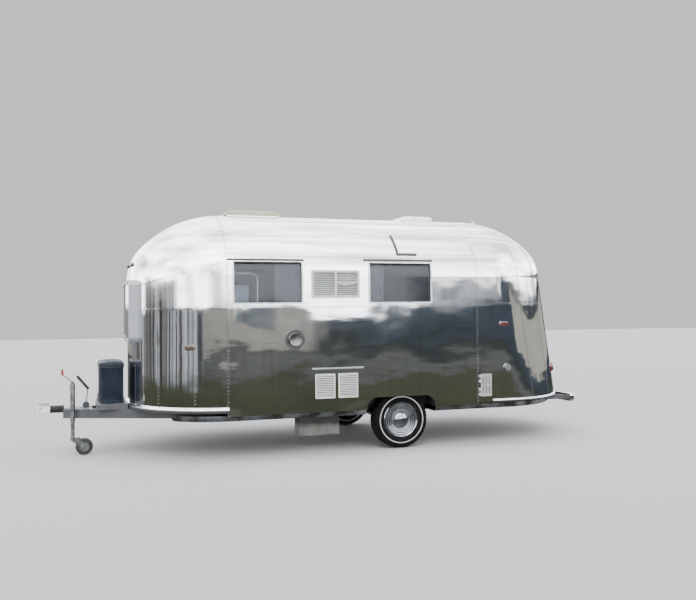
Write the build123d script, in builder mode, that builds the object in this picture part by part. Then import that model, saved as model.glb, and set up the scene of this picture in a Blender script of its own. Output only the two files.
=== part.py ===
"""Single-axle travel caravan with a round-ended aluminium body, parked on its jockey wheel.

Millimetres. Front is -X, the left side is -Y, up is +Z, and the ground is z = 0.
"""

from build123d import *
from math import atan2, cos, degrees, hypot, radians, sin, tan
import os

os.makedirs("parts", exist_ok=True)

# Driving dimensions

# Stations along the caravan, counted from the road wheels' axle
axle_x = 700
nose_x = axle_x - 2937
tail_x = axle_x + 2219
front_seam_x = axle_x - 1984
rear_seam_x = axle_x + 941
drawbar_tip_x = axle_x - 3633
bumper_rear_x = axle_x + 2523

# Body form: plan corners, and a roof section of a shoulder arc and a crown arc
half_width = 1140
corner_radius = 1040
spring_z = 1950
roof_rise = 740
shoulder_angle = 44
tail_lean = 222
wall = 45
wall_foot_z = 464
front_foot_z = 502
rear_foot_z = 480
roof_seam_z = 2150
front_seam_drop = 300
rear_seam_drop = 300
seat_gap = 0.3

# Floor and chassis
floor_z = 502
floor_thickness = 20
rail_depth = 100
rail_width = 50
rail_half_track = 560
rail_wall = 5
coupling_half_track = 45
outrigger_depth = 60
head_plate = 12
head_plate_length = 300
iron_width = 36
iron_depth = 54
pan_thickness = 4
pan_inset = 70
pan_edge_radius = 55

# Road wheels
tyre_radius = 325
tyre_width = 185
tyre_inset = 70
bead_radius = 196
rim_width = 140
rim_wall = 6
hub_radius = 62
stub_radius = 22
drum_radius = 140
drum_width = 62
cover_radius = 212
running_gap = 0.5

# Wheel arch and housing
arch_centre_x = axle_x - 15
arch_half_length = 437
arch_top_z = 598
arch_cut = 95
housing_half_length = 425
housing_top_z = 745
housing_wall = 12
housing_side_gap = 45
housing_radius = 120

# Axle
axle_tube_radius = 38
arm_length = 150
arm_width = 28
arm_radius = 34
axle_bracket_length = 110
axle_bracket_width = 60

# Windows of the side walls
window_width = 772
window_height = 464
window_sill_z = 1646
window_corner = 20
frame_width = 16
frame_proud = 12
glass_depth = 10
glass_thickness = 5
left_window_x = (axle_x - 1554, axle_x - 28)
right_window_x = (axle_x - 28,)

# End windows, flat frames on the curved caps
front_window_width = 980
rear_window_width = 720
end_window_height = 690
end_window_sill_z = 1235
end_window_proud = 22
end_frame_depth = 110
end_frame_width = 30
end_window_corner = 60

# Entry door, hinged at its front edge
door_front_x = axle_x - 1815
door_width = 640
door_sill_z = floor_z + floor_thickness + 6
door_top_z = 2085
door_corner = 95
door_gap = 8
door_latch_gap = 15
door_window_width = 400
door_window_height = 330
door_window_sill_z = 1600
hinge_radius = 9
hinge_length = 70
hinge_stand_off = 15
hinge_leaf = 34
hinge_leaf_thickness = 4
hinge_pin_radius = 4
hinge_end = 20
hinge_heights = (700, 1250, 1800)
handle_inset = 75
handle_z = 1150
handle_plate = (56, 96)
handle_grip = (90, 24)
handle_stand_off = 42
handle_thickness = 10

# Vents, hatch and fittings of the left wall
fridge_vent_x = (axle_x - 1074, axle_x - 521)
fridge_vent_z = (1709, 2015)
fridge_vent_border = 26
louvre_count = 12
louvre_depth = 30
louvre_thickness = 3
louvre_slope = 35
louvre_corner = 6
bent_louvre = 6
vent_panel_x = (axle_x - 925, axle_x - 661)
vent_panel_width = 225
vent_panel_z = (612, 880)
vent_panel_louvres = 13
vent_panel_border = 12
vent_panel_thickness = 5
drip_strip_x = (axle_x - 1072, axle_x - 481)
drip_strip_z = 938
drip_strip_height = 14
drip_strip_depth = 18
flue_x = axle_x - 1264
flue_z = 1262
flue_radius = 108
flue_plate = 10
flue_dome = 24
hatch_x = (axle_x + 966, axle_x + 1122)
hatch_z = (548, 822)
hatch_gap = 6
hatch_corner = 10
hatch_thickness = 14
hatch_proud = 3
hatch_pocket = 30
hatch_hinge_radius = 5
hatch_hinge_length = 40
hatch_hinge_stand_off = 14
hatch_pin_radius = 2
hatch_leaf = 24
hatch_hinge_heights = (608, 762)
hatch_slot = (8, 84)
hatch_slot_depth = 7
hatch_slot_pitch = (38, 108)
inlet_x = axle_x + 1322
inlet_z = 883
inlet_radius = 42
inlet_depth = 26

# Roof fittings
front_vent_x = (axle_x - 1848, axle_x - 1198)
front_vent_width = 500
rear_vent_x = (axle_x + 409, axle_x + 809)
rear_vent_width = 400
vent_base_height = 34
vent_base_depth = 160
vent_base_wall = 24
vent_lid_wall = 8
vent_lid_top = 6
vent_lid_skirt = 26
vent_lid_corner = 30
front_lid_crown = 38
rear_lid_crown = 22
vent_lid_gap = 7
vent_hinge_radius = 6
vent_hinge_length = 50
roof_pipe_x = axle_x + 1491
roof_pipe_radius = 24
roof_pipe_wall = 4
roof_pipe_flange_depth = 24
roof_pipe_top_z = 2728

# L-shaped bracket on the roof side
bracket_x = axle_x - 36
bracket_foot_z = 2208
bracket_arm = 222
bracket_height = 222
bracket_width = 22
bracket_thickness = 12

# Rub rail and bumper
rub_height = 58
rub_depth = 22
rub_foot_z = front_foot_z
rear_rub_height = 34
rear_rub_depth = 13
rear_trim_x = rear_seam_x + 200
bumper_height = 98
bumper_depth = 60
bumper_foot_z = 388
bumper_half_length = 740
bumper_end_radius = 28
bumper_edge_radius = 18

# Drawbar fittings
coupling_tip_x = axle_x - 3935
coupling_back_x = axle_x - 3779
coupling_z = 500
coupling_socket_radius = 25.4
coupling_socket_depth = 34
bellows_radius = 46
bellows_groove = 9
bellows_folds = 6
tray_x = (axle_x - 3290, axle_x - 2962)
tray_half_width = 330
tray_height = 62
gas_cover_x = (axle_x - 3276, axle_x - 2983)
gas_cover_half_width = 300
gas_cover_height = 468
gas_cover_corner = 90
gas_cover_edge = 30
gas_cover_wall = 22
gas_flap_height = 70
gas_flap_proud = 8

# Hand brake lever
brake_pivot_x = axle_x - 3399
brake_pivot_z = 548
brake_lever_y = 60
brake_rod_radius = 6
brake_eye_radius = 17
brake_eye_width = 18
brake_pin_radius = 7
brake_plate = 10
brake_plate_gap = 5
brake_plate_length = 70
brake_grip_radius = 15
brake_rod_top = (22, 165)
brake_grip_top = (-95, 308)

# Jockey stand
jockey_x = axle_x - 3541
jockey_y = -164
jockey_outer_radius = 26
jockey_outer_wall = 4
jockey_outer_z = (372, 794)
jockey_clamp_length = 62
jockey_clamp_height = 72
jockey_inner_radius = 21
jockey_inner_top_z = 610
jockey_crown_z = 200
jockey_wheel_radius = 93
jockey_wheel_width = 52
jockey_hub_radius = 52
jockey_trail = 120
jockey_fork_thickness = 6
jockey_fork_gap = 6
jockey_axle_radius = 8
crank_length = 105
crank_rise = 85
crank_radius = 6
crank_grip_radius = 12
crank_grip_length = 72

# Underslung locker
locker_x = (axle_x - 1107, axle_x - 642)
locker_y = (-740, -500)
locker_foot_z = 150

# Entry step
step_length = 520
step_depth = 270
step_thickness = 28
step_top_z = 360
step_rail_spread = 200
step_rail_radius = 6
step_rail_z = 380
step_rail_y = (500, 1100)
step_lug = 16
step_runner_width = 30
step_runner_y = (740, 800)
step_runner_foot_z = 368

# Lamps
marker_size = (118, 58)
marker_height = 26
top_lamp_radius = 26
top_lamp_lift = 17
top_lamp_bearing = 9
tail_lamp_radius = 62
tail_lamp_height = 34
tail_lamp_y = 640
tail_lamp_z = 830

# Worked-out sizes
roof_z = spring_z + roof_rise
shoulder_cos = cos(radians(shoulder_angle))
shoulder_sin = sin(radians(shoulder_angle))
arc_share = shoulder_cos + shoulder_sin - 1
crown_radius = (corner_radius * shoulder_sin - roof_rise * (1 - shoulder_cos)) / arc_share
shoulder_radius = (roof_rise * shoulder_cos - corner_radius * (1 - shoulder_sin)) / arc_share
flat_half = half_width - corner_radius
rail_foot_z = floor_z - rail_depth
tyre_centre_y = half_width - tyre_inset - tyre_width / 2
tail_slope = tail_lean / (spring_z - wall_foot_z)
tail_angle = degrees(atan2(tail_lean, spring_z - wall_foot_z))


def shoulder_face(inset, plane):
    """Half section of the roof, from a corner's centre line out to the wall."""
    corner = corner_radius - inset
    rise = roof_rise - inset
    shoulder = shoulder_radius - inset
    crown = crown_radius - inset
    with BuildSketch(plane) as face:
        with BuildLine():
            Line((0, rise), (0, 0))
            Line((0, 0), (corner, 0))
            CenterArc((corner - shoulder, 0), shoulder, 0, shoulder_angle)
            CenterArc((0, rise - crown), crown, shoulder_angle, 90 - shoulder_angle)
        make_face()
    return face.sketch


def plan_face(inset, z, base_x, end_x):
    """Level outline from a straight cut at base_x to a rounded end at end_x."""
    end = -1 if end_x < base_x else 1
    with BuildSketch(Plane.XY.offset(z)) as face:
        with Locations(((base_x + end_x) / 2, 0)):
            Rectangle(abs(end_x - base_x), 2 * (half_width - inset))
        rounded = face.vertices().group_by(Axis.X)[0 if end < 0 else -1]
        fillet(rounded, corner_radius - inset)
    return face.sketch


def body_form(inset, foot_z):
    """Closed form of the whole body, moved in by inset from the outer skin."""
    front = nose_x + inset
    rear = tail_x - inset
    rear_foot = rear + tail_slope * (spring_z - foot_z)
    corner = corner_radius - inset
    centres = {-1: front + corner, 1: rear - corner}
    span = centres[1] - centres[-1]
    with BuildPart() as form:
        extrude(plan_face(inset, foot_z, rear_seam_x, front), amount=spring_z - foot_z)
        loft(
            [plan_face(inset, foot_z, rear_seam_x, rear_foot).face(),
             plan_face(inset, spring_z, rear_seam_x, rear).face()],
            ruled=True,
        )
        with Locations(((centres[-1] + centres[1]) / 2, 0, spring_z + (roof_rise - inset) / 2)):
            Box(span, 2 * flat_half, roof_rise - inset)
        for side in (-1, 1):
            side_plane = Plane((centres[-1], side * flat_half, spring_z), (0, side, 0), (side, 0, 0))
            extrude(shoulder_face(inset, side_plane), amount=side * span)
        for end in (-1, 1):
            middle_plane = Plane((centres[end], 0, spring_z), (end, 0, 0), (0, -end, 0))
            extrude(shoulder_face(inset, middle_plane), amount=flat_half, both=True)
            for side in (-1, 1):
                post = (centres[end], side * flat_half, spring_z)
                corner_plane = Plane(post, (end, 0, 0), (0, -end, 0))
                turn = Axis(post, (0, 0, end * side))
                revolve(shoulder_face(inset, corner_plane), axis=turn, revolution_arc=90)
    return form.part


def side_prism(x0, x1, z0, z1, radius, side, inner=800):
    """Rounded block through one side wall, seen along Y."""
    with BuildPart() as prism:
        with BuildSketch(Plane.XZ):
            with Locations(((x0 + x1) / 2, (z0 + z1) / 2)):
                RectangleRounded(x1 - x0, z1 - z0, radius)
        extrude(amount=-side * (half_width + 200))
        with BuildSketch(Plane.XZ):
            with Locations(((x0 + x1) / 2, (z0 + z1) / 2)):
                Rectangle(x1 - x0 + 100, z1 - z0 + 100)
        extrude(amount=-side * inner, mode=Mode.SUBTRACT)
    return prism.part


def end_plane(end, z):
    """Plane on the nose or the tail at height z, facing outwards, its x along +Y."""
    if end < 0:
        return Plane((nose_x, 0, z), (0, 1, 0), (-1, 0, 0))
    face_x = tail_x + tail_slope * (spring_z - z)
    lean = radians(tail_angle)
    return Plane((face_x, 0, z), (0, 1, 0), (cos(lean), 0, sin(lean)))


def export(part, name):
    """Label one finished piece and write it."""
    part.label = name
    export_step(part, f"parts/{name}.step")


# Body panels

outer_form = body_form(0, wall_foot_z)
inner_form = body_form(wall, wall_foot_z - 50)

with BuildPart() as body_skin:
    add(outer_form)
    add(inner_form, mode=Mode.SUBTRACT)


def cap_seam_plane(end):
    """Sloping seam between the upper and the lower panels of a cap."""
    if end < 0:
        run = front_seam_x - nose_x
        drop = front_seam_drop
        start = front_seam_x
    else:
        run = tail_x - rear_seam_x
        drop = rear_seam_drop
        start = rear_seam_x
    slope = atan2(drop, run)
    along = (cos(slope), 0, -end * sin(slope))
    return Plane((start, 0, roof_seam_z), along, (end * sin(slope), 0, cos(slope)))


cut_depth = 400
hatch_length = hatch_x[1] - hatch_x[0]
hatch_height = hatch_z[1] - hatch_z[0]
hatch_plane = Plane((sum(hatch_x) / 2, -half_width, sum(hatch_z) / 2), (1, 0, 0), (0, -1, 0))

cap_table = (
    # end, seam station, foot height, window width
    (-1, front_seam_x, front_foot_z, front_window_width),
    (1, rear_seam_x, rear_foot_z, rear_window_width),
)
caps = {}
for end, station, foot, end_window_width in cap_table:
    plane = end_plane(end, end_window_sill_z + end_window_height / 2)
    with BuildPart() as cap:
        add(body_skin.part)
        split(bisect_by=Plane((station, 0, 0), (0, 1, 0), (end, 0, 0)), keep=Keep.TOP)
        split(bisect_by=Plane.XY.offset(foot), keep=Keep.TOP)
        with BuildSketch(plane.offset(-cut_depth)):
            RectangleRounded(end_window_width, end_window_height, end_window_corner)
        extrude(amount=2 * cut_depth, mode=Mode.SUBTRACT)
        if end > 0:
            with BuildSketch(hatch_plane.offset(-hatch_pocket)):
                RectangleRounded(hatch_length, hatch_height, hatch_corner)
            extrude(amount=2 * hatch_pocket, mode=Mode.SUBTRACT)
    for level, keep in (("upper", Keep.TOP), ("lower", Keep.BOTTOM)):
        with BuildPart() as half:
            add(cap.part)
            split(bisect_by=cap_seam_plane(end), keep=keep)
        caps[end, level] = half.part

with BuildPart() as middle:
    add(body_skin.part)
    split(bisect_by=Plane((front_seam_x, 0, 0), (0, 1, 0), (1, 0, 0)), keep=Keep.TOP)
    split(bisect_by=Plane((rear_seam_x, 0, 0), (0, 1, 0), (1, 0, 0)), keep=Keep.BOTTOM)

with BuildPart() as wheel_arch:
    with BuildSketch(Plane.XZ) as arch_face:
        with Locations((arch_centre_x, (arch_top_z + wall_foot_z) / 2 - 100)):
            Rectangle(2 * arch_half_length, arch_top_z - wall_foot_z + 200)
        chamfer(arch_face.vertices().group_by(Axis.Y)[-1], arch_cut)
        fillet(arch_face.vertices().group_by(Axis.Y)[-1], arch_cut * 0.8)
    extrude(amount=half_width + 100, both=True)

door_x1 = door_front_x + door_width
door_hole = side_prism(door_front_x, door_x1, door_sill_z, door_top_z, door_corner, 1)
walls = {}
for side in (-1, 1):
    with BuildPart() as side_wall:
        add(middle.part)
        split(bisect_by=Plane.XY.offset(roof_seam_z), keep=Keep.BOTTOM)
        split(bisect_by=Plane.XZ, keep=Keep.TOP if side < 0 else Keep.BOTTOM)
        add(wheel_arch.part, mode=Mode.SUBTRACT)
        for centre in left_window_x if side < 0 else right_window_x:
            add(
                side_prism(centre - window_width / 2, centre + window_width / 2, window_sill_z,
                           window_sill_z + window_height, window_corner, side),
                mode=Mode.SUBTRACT,
            )
        if side < 0:
            add(
                side_prism(*fridge_vent_x, *fridge_vent_z, window_corner / 2, side),
                mode=Mode.SUBTRACT,
            )
        else:
            add(door_hole, mode=Mode.SUBTRACT)
    walls[side] = side_wall.part

front_vent_plane = Plane(((front_vent_x[0] + front_vent_x[1]) / 2, 0, roof_z))
rear_vent_plane = Plane(((rear_vent_x[0] + rear_vent_x[1]) / 2, 0, roof_z))
vent_table = (
    # name, plane, length, width, lid crown, shares of the lid at its shoulder and at its flat top
    ("front", front_vent_plane, front_vent_x[1] - front_vent_x[0], front_vent_width, front_lid_crown,
     (0.86, 0.5)),
    ("rear", rear_vent_plane, rear_vent_x[1] - rear_vent_x[0], rear_vent_width, rear_lid_crown,
     (0.95, 0.85)),
)
lid_shoulder = 0.66
base_inset = vent_lid_wall + vent_lid_gap

with BuildPart() as roof:
    add(middle.part)
    split(bisect_by=Plane.XY.offset(roof_seam_z), keep=Keep.TOP)
    for _, plane, length, width, _, _ in vent_table:
        with BuildSketch(plane.offset(-cut_depth)):
            Rectangle(length - 2 * base_inset, width - 2 * base_inset)
        extrude(amount=2 * cut_depth, mode=Mode.SUBTRACT)

export(caps[-1, "upper"], "cap_front_upper")
export(caps[-1, "lower"], "cap_front_lower")
export(caps[1, "upper"], "cap_rear_upper")
export(caps[1, "lower"], "cap_rear_lower")
export(walls[-1], "wall_left")
export(walls[1], "wall_right")
export(roof.part, "roof")

# Windows

frame_skin_form = body_form(-frame_proud, wall_foot_z)
glass_outer_form = body_form(glass_depth, wall_foot_z)
glass_inner_form = body_form(glass_depth + glass_thickness, wall_foot_z - 50)
frame_inner_form = body_form(wall + frame_proud, wall_foot_z - 50)

with BuildPart() as frame_skin:
    add(frame_skin_form)
    add(frame_inner_form, mode=Mode.SUBTRACT)

with BuildPart() as glass_skin:
    add(glass_outer_form)
    add(glass_inner_form, mode=Mode.SUBTRACT)


def wall_frame(x0, x1, z0, z1, side):
    """Frame of one window of a side wall, bent to the skin."""
    with BuildPart() as frame:
        add(side_prism(x0 + seat_gap, x1 - seat_gap, z0 + seat_gap, z1 - seat_gap, window_corner, side))
        add(
            side_prism(x0 + frame_width, x1 - frame_width, z0 + frame_width, z1 - frame_width,
                       window_corner / 2, side),
            mode=Mode.SUBTRACT,
        )
        add(frame_skin.part, mode=Mode.INTERSECT)
    return frame.part


def wall_pane(x0, x1, z0, z1, side):
    """Pane of one window of a side wall, inside its frame."""
    margin = frame_width + seat_gap
    with BuildPart() as pane:
        add(side_prism(x0 + margin, x1 - margin, z0 + margin, z1 - margin, window_corner / 2, side))
        add(glass_skin.part, mode=Mode.INTERSECT)
    return pane.part


wall_windows = []
for side, centres in ((-1, left_window_x), (1, right_window_x)):
    for centre in centres:
        wall_windows.append((centre - window_width / 2, centre + window_width / 2, window_sill_z,
                             window_sill_z + window_height, side))

end_pane_height = end_window_height - 2 * end_frame_width
end_pane_corner = end_window_corner - end_frame_width / 2

with BuildPart() as window_frames:
    for opening in wall_windows:
        add(wall_frame(*opening))
    for end, _, _, end_window_width in cap_table:
        plane = end_plane(end, end_window_sill_z + end_window_height / 2)
        with BuildSketch(plane.offset(end_window_proud)):
            RectangleRounded(end_window_width - 2 * seat_gap, end_window_height - 2 * seat_gap,
                             end_window_corner)
            RectangleRounded(end_window_width - 2 * end_frame_width, end_pane_height, end_pane_corner,
                             mode=Mode.SUBTRACT)
        extrude(amount=-end_frame_depth)
export(window_frames.part, "window_frames")

with BuildPart() as window_glass:
    for opening in wall_windows:
        add(wall_pane(*opening))
    for end, _, _, end_window_width in cap_table:
        plane = end_plane(end, end_window_sill_z + end_window_height / 2)
        end_pane_width = end_window_width - 2 * end_frame_width
        with BuildSketch(plane.offset(glass_depth)):
            RectangleRounded(end_pane_width - 2 * seat_gap, end_pane_height - 2 * seat_gap,
                             end_pane_corner)
        extrude(amount=-glass_thickness)
export(window_glass.part, "window_glass")

# Entry door, cut from the same skin as the wall


def hinge_half(x, y, face_y, lean, z0, z1, radius, reach):
    """Knuckle of an upright hinge from z0 to z1, with its leaf along X on the face at face_y."""
    out = 1 if y > face_y else -1
    leaf_y = face_y + out * hinge_leaf_thickness
    with BuildPart() as half:
        with BuildSketch(Plane.XY.offset(z0)):
            with Locations((x, y)):
                Circle(radius)
            with BuildLine():
                Polyline((x, y), (x + lean * (radius + 2), face_y), (x + lean * reach, face_y),
                         (x + lean * reach, leaf_y), (x + lean * (radius + 6), leaf_y),
                         (x + lean * radius / 2, y + out * radius / 2), close=True)
            make_face()
        extrude(amount=z1 - z0)
    return half.part


door_window_x = (door_front_x + door_x1) / 2
door_window = (door_window_x - door_window_width / 2, door_window_x + door_window_width / 2,
               door_window_sill_z, door_window_sill_z + door_window_height)
with BuildPart() as door_panel:
    add(body_skin.part)
    add(
        side_prism(door_front_x + door_gap, door_x1 - door_latch_gap, door_sill_z + door_gap,
                   door_top_z - door_gap, door_corner - door_gap, 1),
        mode=Mode.INTERSECT,
    )
    add(side_prism(*door_window, window_corner, 1), mode=Mode.SUBTRACT)
export(door_panel.part, "door_panel")
export(wall_pane(*door_window, 1), "door_window_glass")

hinge_y = half_width + hinge_stand_off
hinge_x = door_front_x + door_gap / 2
handle_x = door_x1 - handle_inset
with BuildPart() as door_fittings:
    add(wall_frame(*door_window, 1))
    for height in hinge_heights:
        z0 = height - hinge_length / 2
        add(hinge_half(hinge_x, hinge_y, half_width + seat_gap, 1, z0, z0 + hinge_length, hinge_radius,
                       hinge_leaf))
        with Locations((hinge_x, hinge_y, height)):
            Cylinder(hinge_pin_radius + running_gap, hinge_length, mode=Mode.SUBTRACT)
    with BuildSketch(Plane((handle_x, half_width + seat_gap, handle_z), (1, 0, 0), (0, 1, 0))):
        RectangleRounded(handle_plate[0], handle_plate[1], 12)
    extrude(amount=handle_thickness)
    with Locations((handle_x + 14, half_width + handle_stand_off / 2, handle_z)):
        Box(16, handle_stand_off, 16)
    with BuildSketch(Plane((handle_x - 10, half_width + handle_stand_off, handle_z), (1, 0, 0),
                           (0, 1, 0))):
        RectangleRounded(handle_grip[0], handle_grip[1], 10)
    extrude(amount=handle_thickness)
export(door_fittings.part, "door_fittings")

# Floor, belly pan and wheel housings


def wheel_well(side, half_length, inner_y, foot, top, radius, outer_y):
    """Block of the space round one road wheel."""
    with BuildPart() as well:
        with BuildSketch(Plane.XZ) as face:
            with Locations((axle_x, (foot + top) / 2)):
                Rectangle(2 * half_length, top - foot)
            fillet(face.vertices().group_by(Axis.Y)[-1], radius)
        extrude(amount=-side * outer_y)
        with Locations((axle_x, 0, (foot + top) / 2)):
            Box(3 * half_length, 2 * inner_y, 2 * (top - foot), mode=Mode.SUBTRACT)
    return well.part


housing_inner_y = tyre_centre_y - tyre_width / 2 - housing_side_gap
housing_outer_y = half_width - wall - seat_gap
well_foot = rail_foot_z - 100

with BuildPart() as floor_deck:
    add(body_form(wall + seat_gap, wall_foot_z - 60))
    split(bisect_by=Plane.XY.offset(floor_z + seat_gap), keep=Keep.TOP)
    split(bisect_by=Plane.XY.offset(floor_z + floor_thickness), keep=Keep.BOTTOM)
    for side in (-1, 1):
        add(
            wheel_well(side, housing_half_length + seat_gap, housing_inner_y - seat_gap, well_foot,
                       housing_top_z, housing_radius, half_width),
            mode=Mode.SUBTRACT,
        )
export(floor_deck.part, "floor_deck")

with BuildPart() as wheel_housings:
    for side in (-1, 1):
        add(wheel_well(side, housing_half_length, housing_inner_y, wall_foot_z, housing_top_z,
                       housing_radius, housing_outer_y))
    for side in (-1, 1):
        add(
            wheel_well(side, housing_half_length - housing_wall, housing_inner_y + housing_wall,
                       wall_foot_z - 20, housing_top_z - housing_wall,
                       housing_radius - housing_wall, half_width),
            mode=Mode.SUBTRACT,
        )
export(wheel_housings.part, "wheel_housings")

pan_front_x = nose_x + 420
pan_foot_z = rail_foot_z - pan_thickness
rail_front_x = pan_front_x + 60
rail_rear_x = tail_x + tail_lean - 420
iron_length = bumper_rear_x - bumper_depth - rail_rear_x
iron_mid_x = rail_rear_x + iron_length / 2
iron_z = rail_foot_z + 4 + iron_depth / 2
with BuildPart() as belly_pan:
    add(body_form(pan_inset, pan_foot_z))
    split(bisect_by=Plane.XY.offset(wall_foot_z), keep=Keep.BOTTOM)
    fillet(belly_pan.faces().sort_by(Axis.Z)[0].edges(), pan_edge_radius)
    offset(amount=-pan_thickness, openings=belly_pan.faces().sort_by(Axis.Z)[-1])
    split(bisect_by=Plane((pan_front_x, 0, 0), (0, 1, 0), (1, 0, 0)), keep=Keep.TOP)
    for side in (-1, 1):
        add(
            wheel_well(side, housing_half_length + seat_gap, housing_inner_y - seat_gap, well_foot,
                       housing_top_z, housing_radius, half_width),
            mode=Mode.SUBTRACT,
        )
        with Locations((iron_mid_x, side * rail_half_track, iron_z)):
            Box(iron_length, iron_width + 2 * seat_gap, iron_depth + 2 * seat_gap, mode=Mode.SUBTRACT)
export(belly_pan.part, "belly_pan")

# Chassis: two rails, drawbar beams, cross members and the bumper irons

rail_mid_z = floor_z - rail_depth / 2
cross_stations = (rail_front_x + 40, axle_x - 900, axle_x - 560, axle_x + 560, rail_rear_x - 40)


def tube_between(start, end, width, depth, thickness):
    """Rectangular tube with its length from start to end, both (x, y), centred at rail height."""
    length = hypot(end[0] - start[0], end[1] - start[1])
    along = ((end[0] - start[0]) / length, (end[1] - start[1]) / length, 0)
    across = (-along[1], along[0], 0)
    with BuildPart() as tube:
        with BuildSketch(Plane((*start, rail_mid_z), across, along)):
            Rectangle(width, depth)
            Rectangle(width - 2 * thickness, depth - 2 * thickness, mode=Mode.SUBTRACT)
        extrude(amount=length)
    return tube.part


beam_angle = atan2(rail_half_track - coupling_half_track, rail_front_x + 30 - drawbar_tip_x)
brake_plate_y = brake_lever_y - brake_eye_width / 2 - brake_plate_gap - brake_plate / 2
brake_plate_top_z = brake_pivot_z + brake_eye_radius


def beam_centre_y(x):
    """Distance of a drawbar beam's centre line from the middle, at station x."""
    return coupling_half_track + (x - drawbar_tip_x) * tan(beam_angle)


with BuildPart() as chassis:
    for side in (-1, 1):
        rail_y = side * rail_half_track
        add(tube_between((rail_front_x, rail_y), (rail_rear_x, rail_y), rail_width, rail_depth,
                         rail_wall))
        add(tube_between((drawbar_tip_x, side * coupling_half_track),
                         (rail_front_x + 30, rail_y), rail_width, rail_depth, rail_wall))
    for station in cross_stations:
        with Locations((station, 0, rail_mid_z)):
            Box(rail_width, 2 * rail_half_track, rail_depth - 2 * rail_wall)
    for station in cross_stations[1:-1]:
        with Locations((station, 0, floor_z - outrigger_depth / 2)):
            Box(rail_width * 0.8, 2 * (half_width - wall - seat_gap - 40), outrigger_depth * 0.6)
    with Locations((drawbar_tip_x + 70, 0, rail_mid_z)):
        Box(140, 2 * coupling_half_track + rail_width, rail_depth)
    with BuildSketch(Plane.XY.offset(floor_z - head_plate)):
        with BuildLine():
            plate_rear_x = drawbar_tip_x + head_plate_length
            plate_rear_y = beam_centre_y(plate_rear_x)
            Polyline((drawbar_tip_x, -coupling_half_track), (plate_rear_x, -plate_rear_y),
                     (plate_rear_x, plate_rear_y), (drawbar_tip_x, coupling_half_track), close=True)
        make_face()
    extrude(amount=head_plate)
    for side in (-1, 1):
        with Locations((iron_mid_x, side * rail_half_track, iron_z)):
            Box(iron_length, iron_width, iron_depth)
    with BuildSketch(Plane.XZ.offset(-(brake_plate_y - brake_plate / 2))) as brake_plate_face:
        with Locations((brake_pivot_x, (brake_plate_top_z + floor_z - head_plate) / 2)):
            Rectangle(brake_plate_length, brake_plate_top_z - floor_z + head_plate)
        chamfer(brake_plate_face.vertices().group_by(Axis.Y)[-1], 20)
    extrude(amount=-brake_plate)
    with BuildSketch(Plane.XZ.offset(-brake_plate_y)):
        with Locations((brake_pivot_x, brake_pivot_z)):
            Circle(brake_pin_radius)
    extrude(amount=-(brake_lever_y + brake_eye_width / 2 + 4 - brake_plate_y))
export(chassis.part, "chassis_frame")

# Torsion axle with trailing arms and stub axles

axle_tube_x = axle_x - arm_length
axle_tube_z = pan_foot_z - 6 - axle_tube_radius
arm_y = housing_inner_y - 8 - arm_width / 2
bracket_y = rail_half_track
stub_end_y = tyre_centre_y + 30
with BuildPart() as torsion_axle:
    with BuildSketch(Plane.XZ):
        with Locations((axle_tube_x, axle_tube_z)):
            Circle(axle_tube_radius)
    extrude(amount=arm_y, both=True)
    for side in (-1, 1):
        with BuildSketch(Plane.XZ.offset(-side * (arm_y - arm_width / 2))):
            with Locations((axle_tube_x, axle_tube_z)):
                Circle(axle_tube_radius + 3)
            with Locations((axle_x, tyre_radius)):
                Circle(arm_radius)
            make_hull()
        extrude(amount=-side * arm_width)
        with BuildSketch(Plane.XZ.offset(-side * arm_y)):
            with Locations((axle_x, tyre_radius)):
                Circle(stub_radius)
        extrude(amount=-side * (stub_end_y - arm_y))
        with Locations((axle_tube_x, side * bracket_y, (pan_foot_z + axle_tube_z) / 2 - seat_gap / 2)):
            Box(axle_bracket_length, axle_bracket_width, pan_foot_z - axle_tube_z - seat_gap)
export(torsion_axle.part, "torsion_axle")

# Road wheels


def around_wheel(side):
    """Half plane through a road wheel's axis: x is the radius, y runs outwards along the axle."""
    return Plane((axle_x, side * tyre_centre_y, tyre_radius), (0, 0, 1), (-side, 0, 0))


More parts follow.
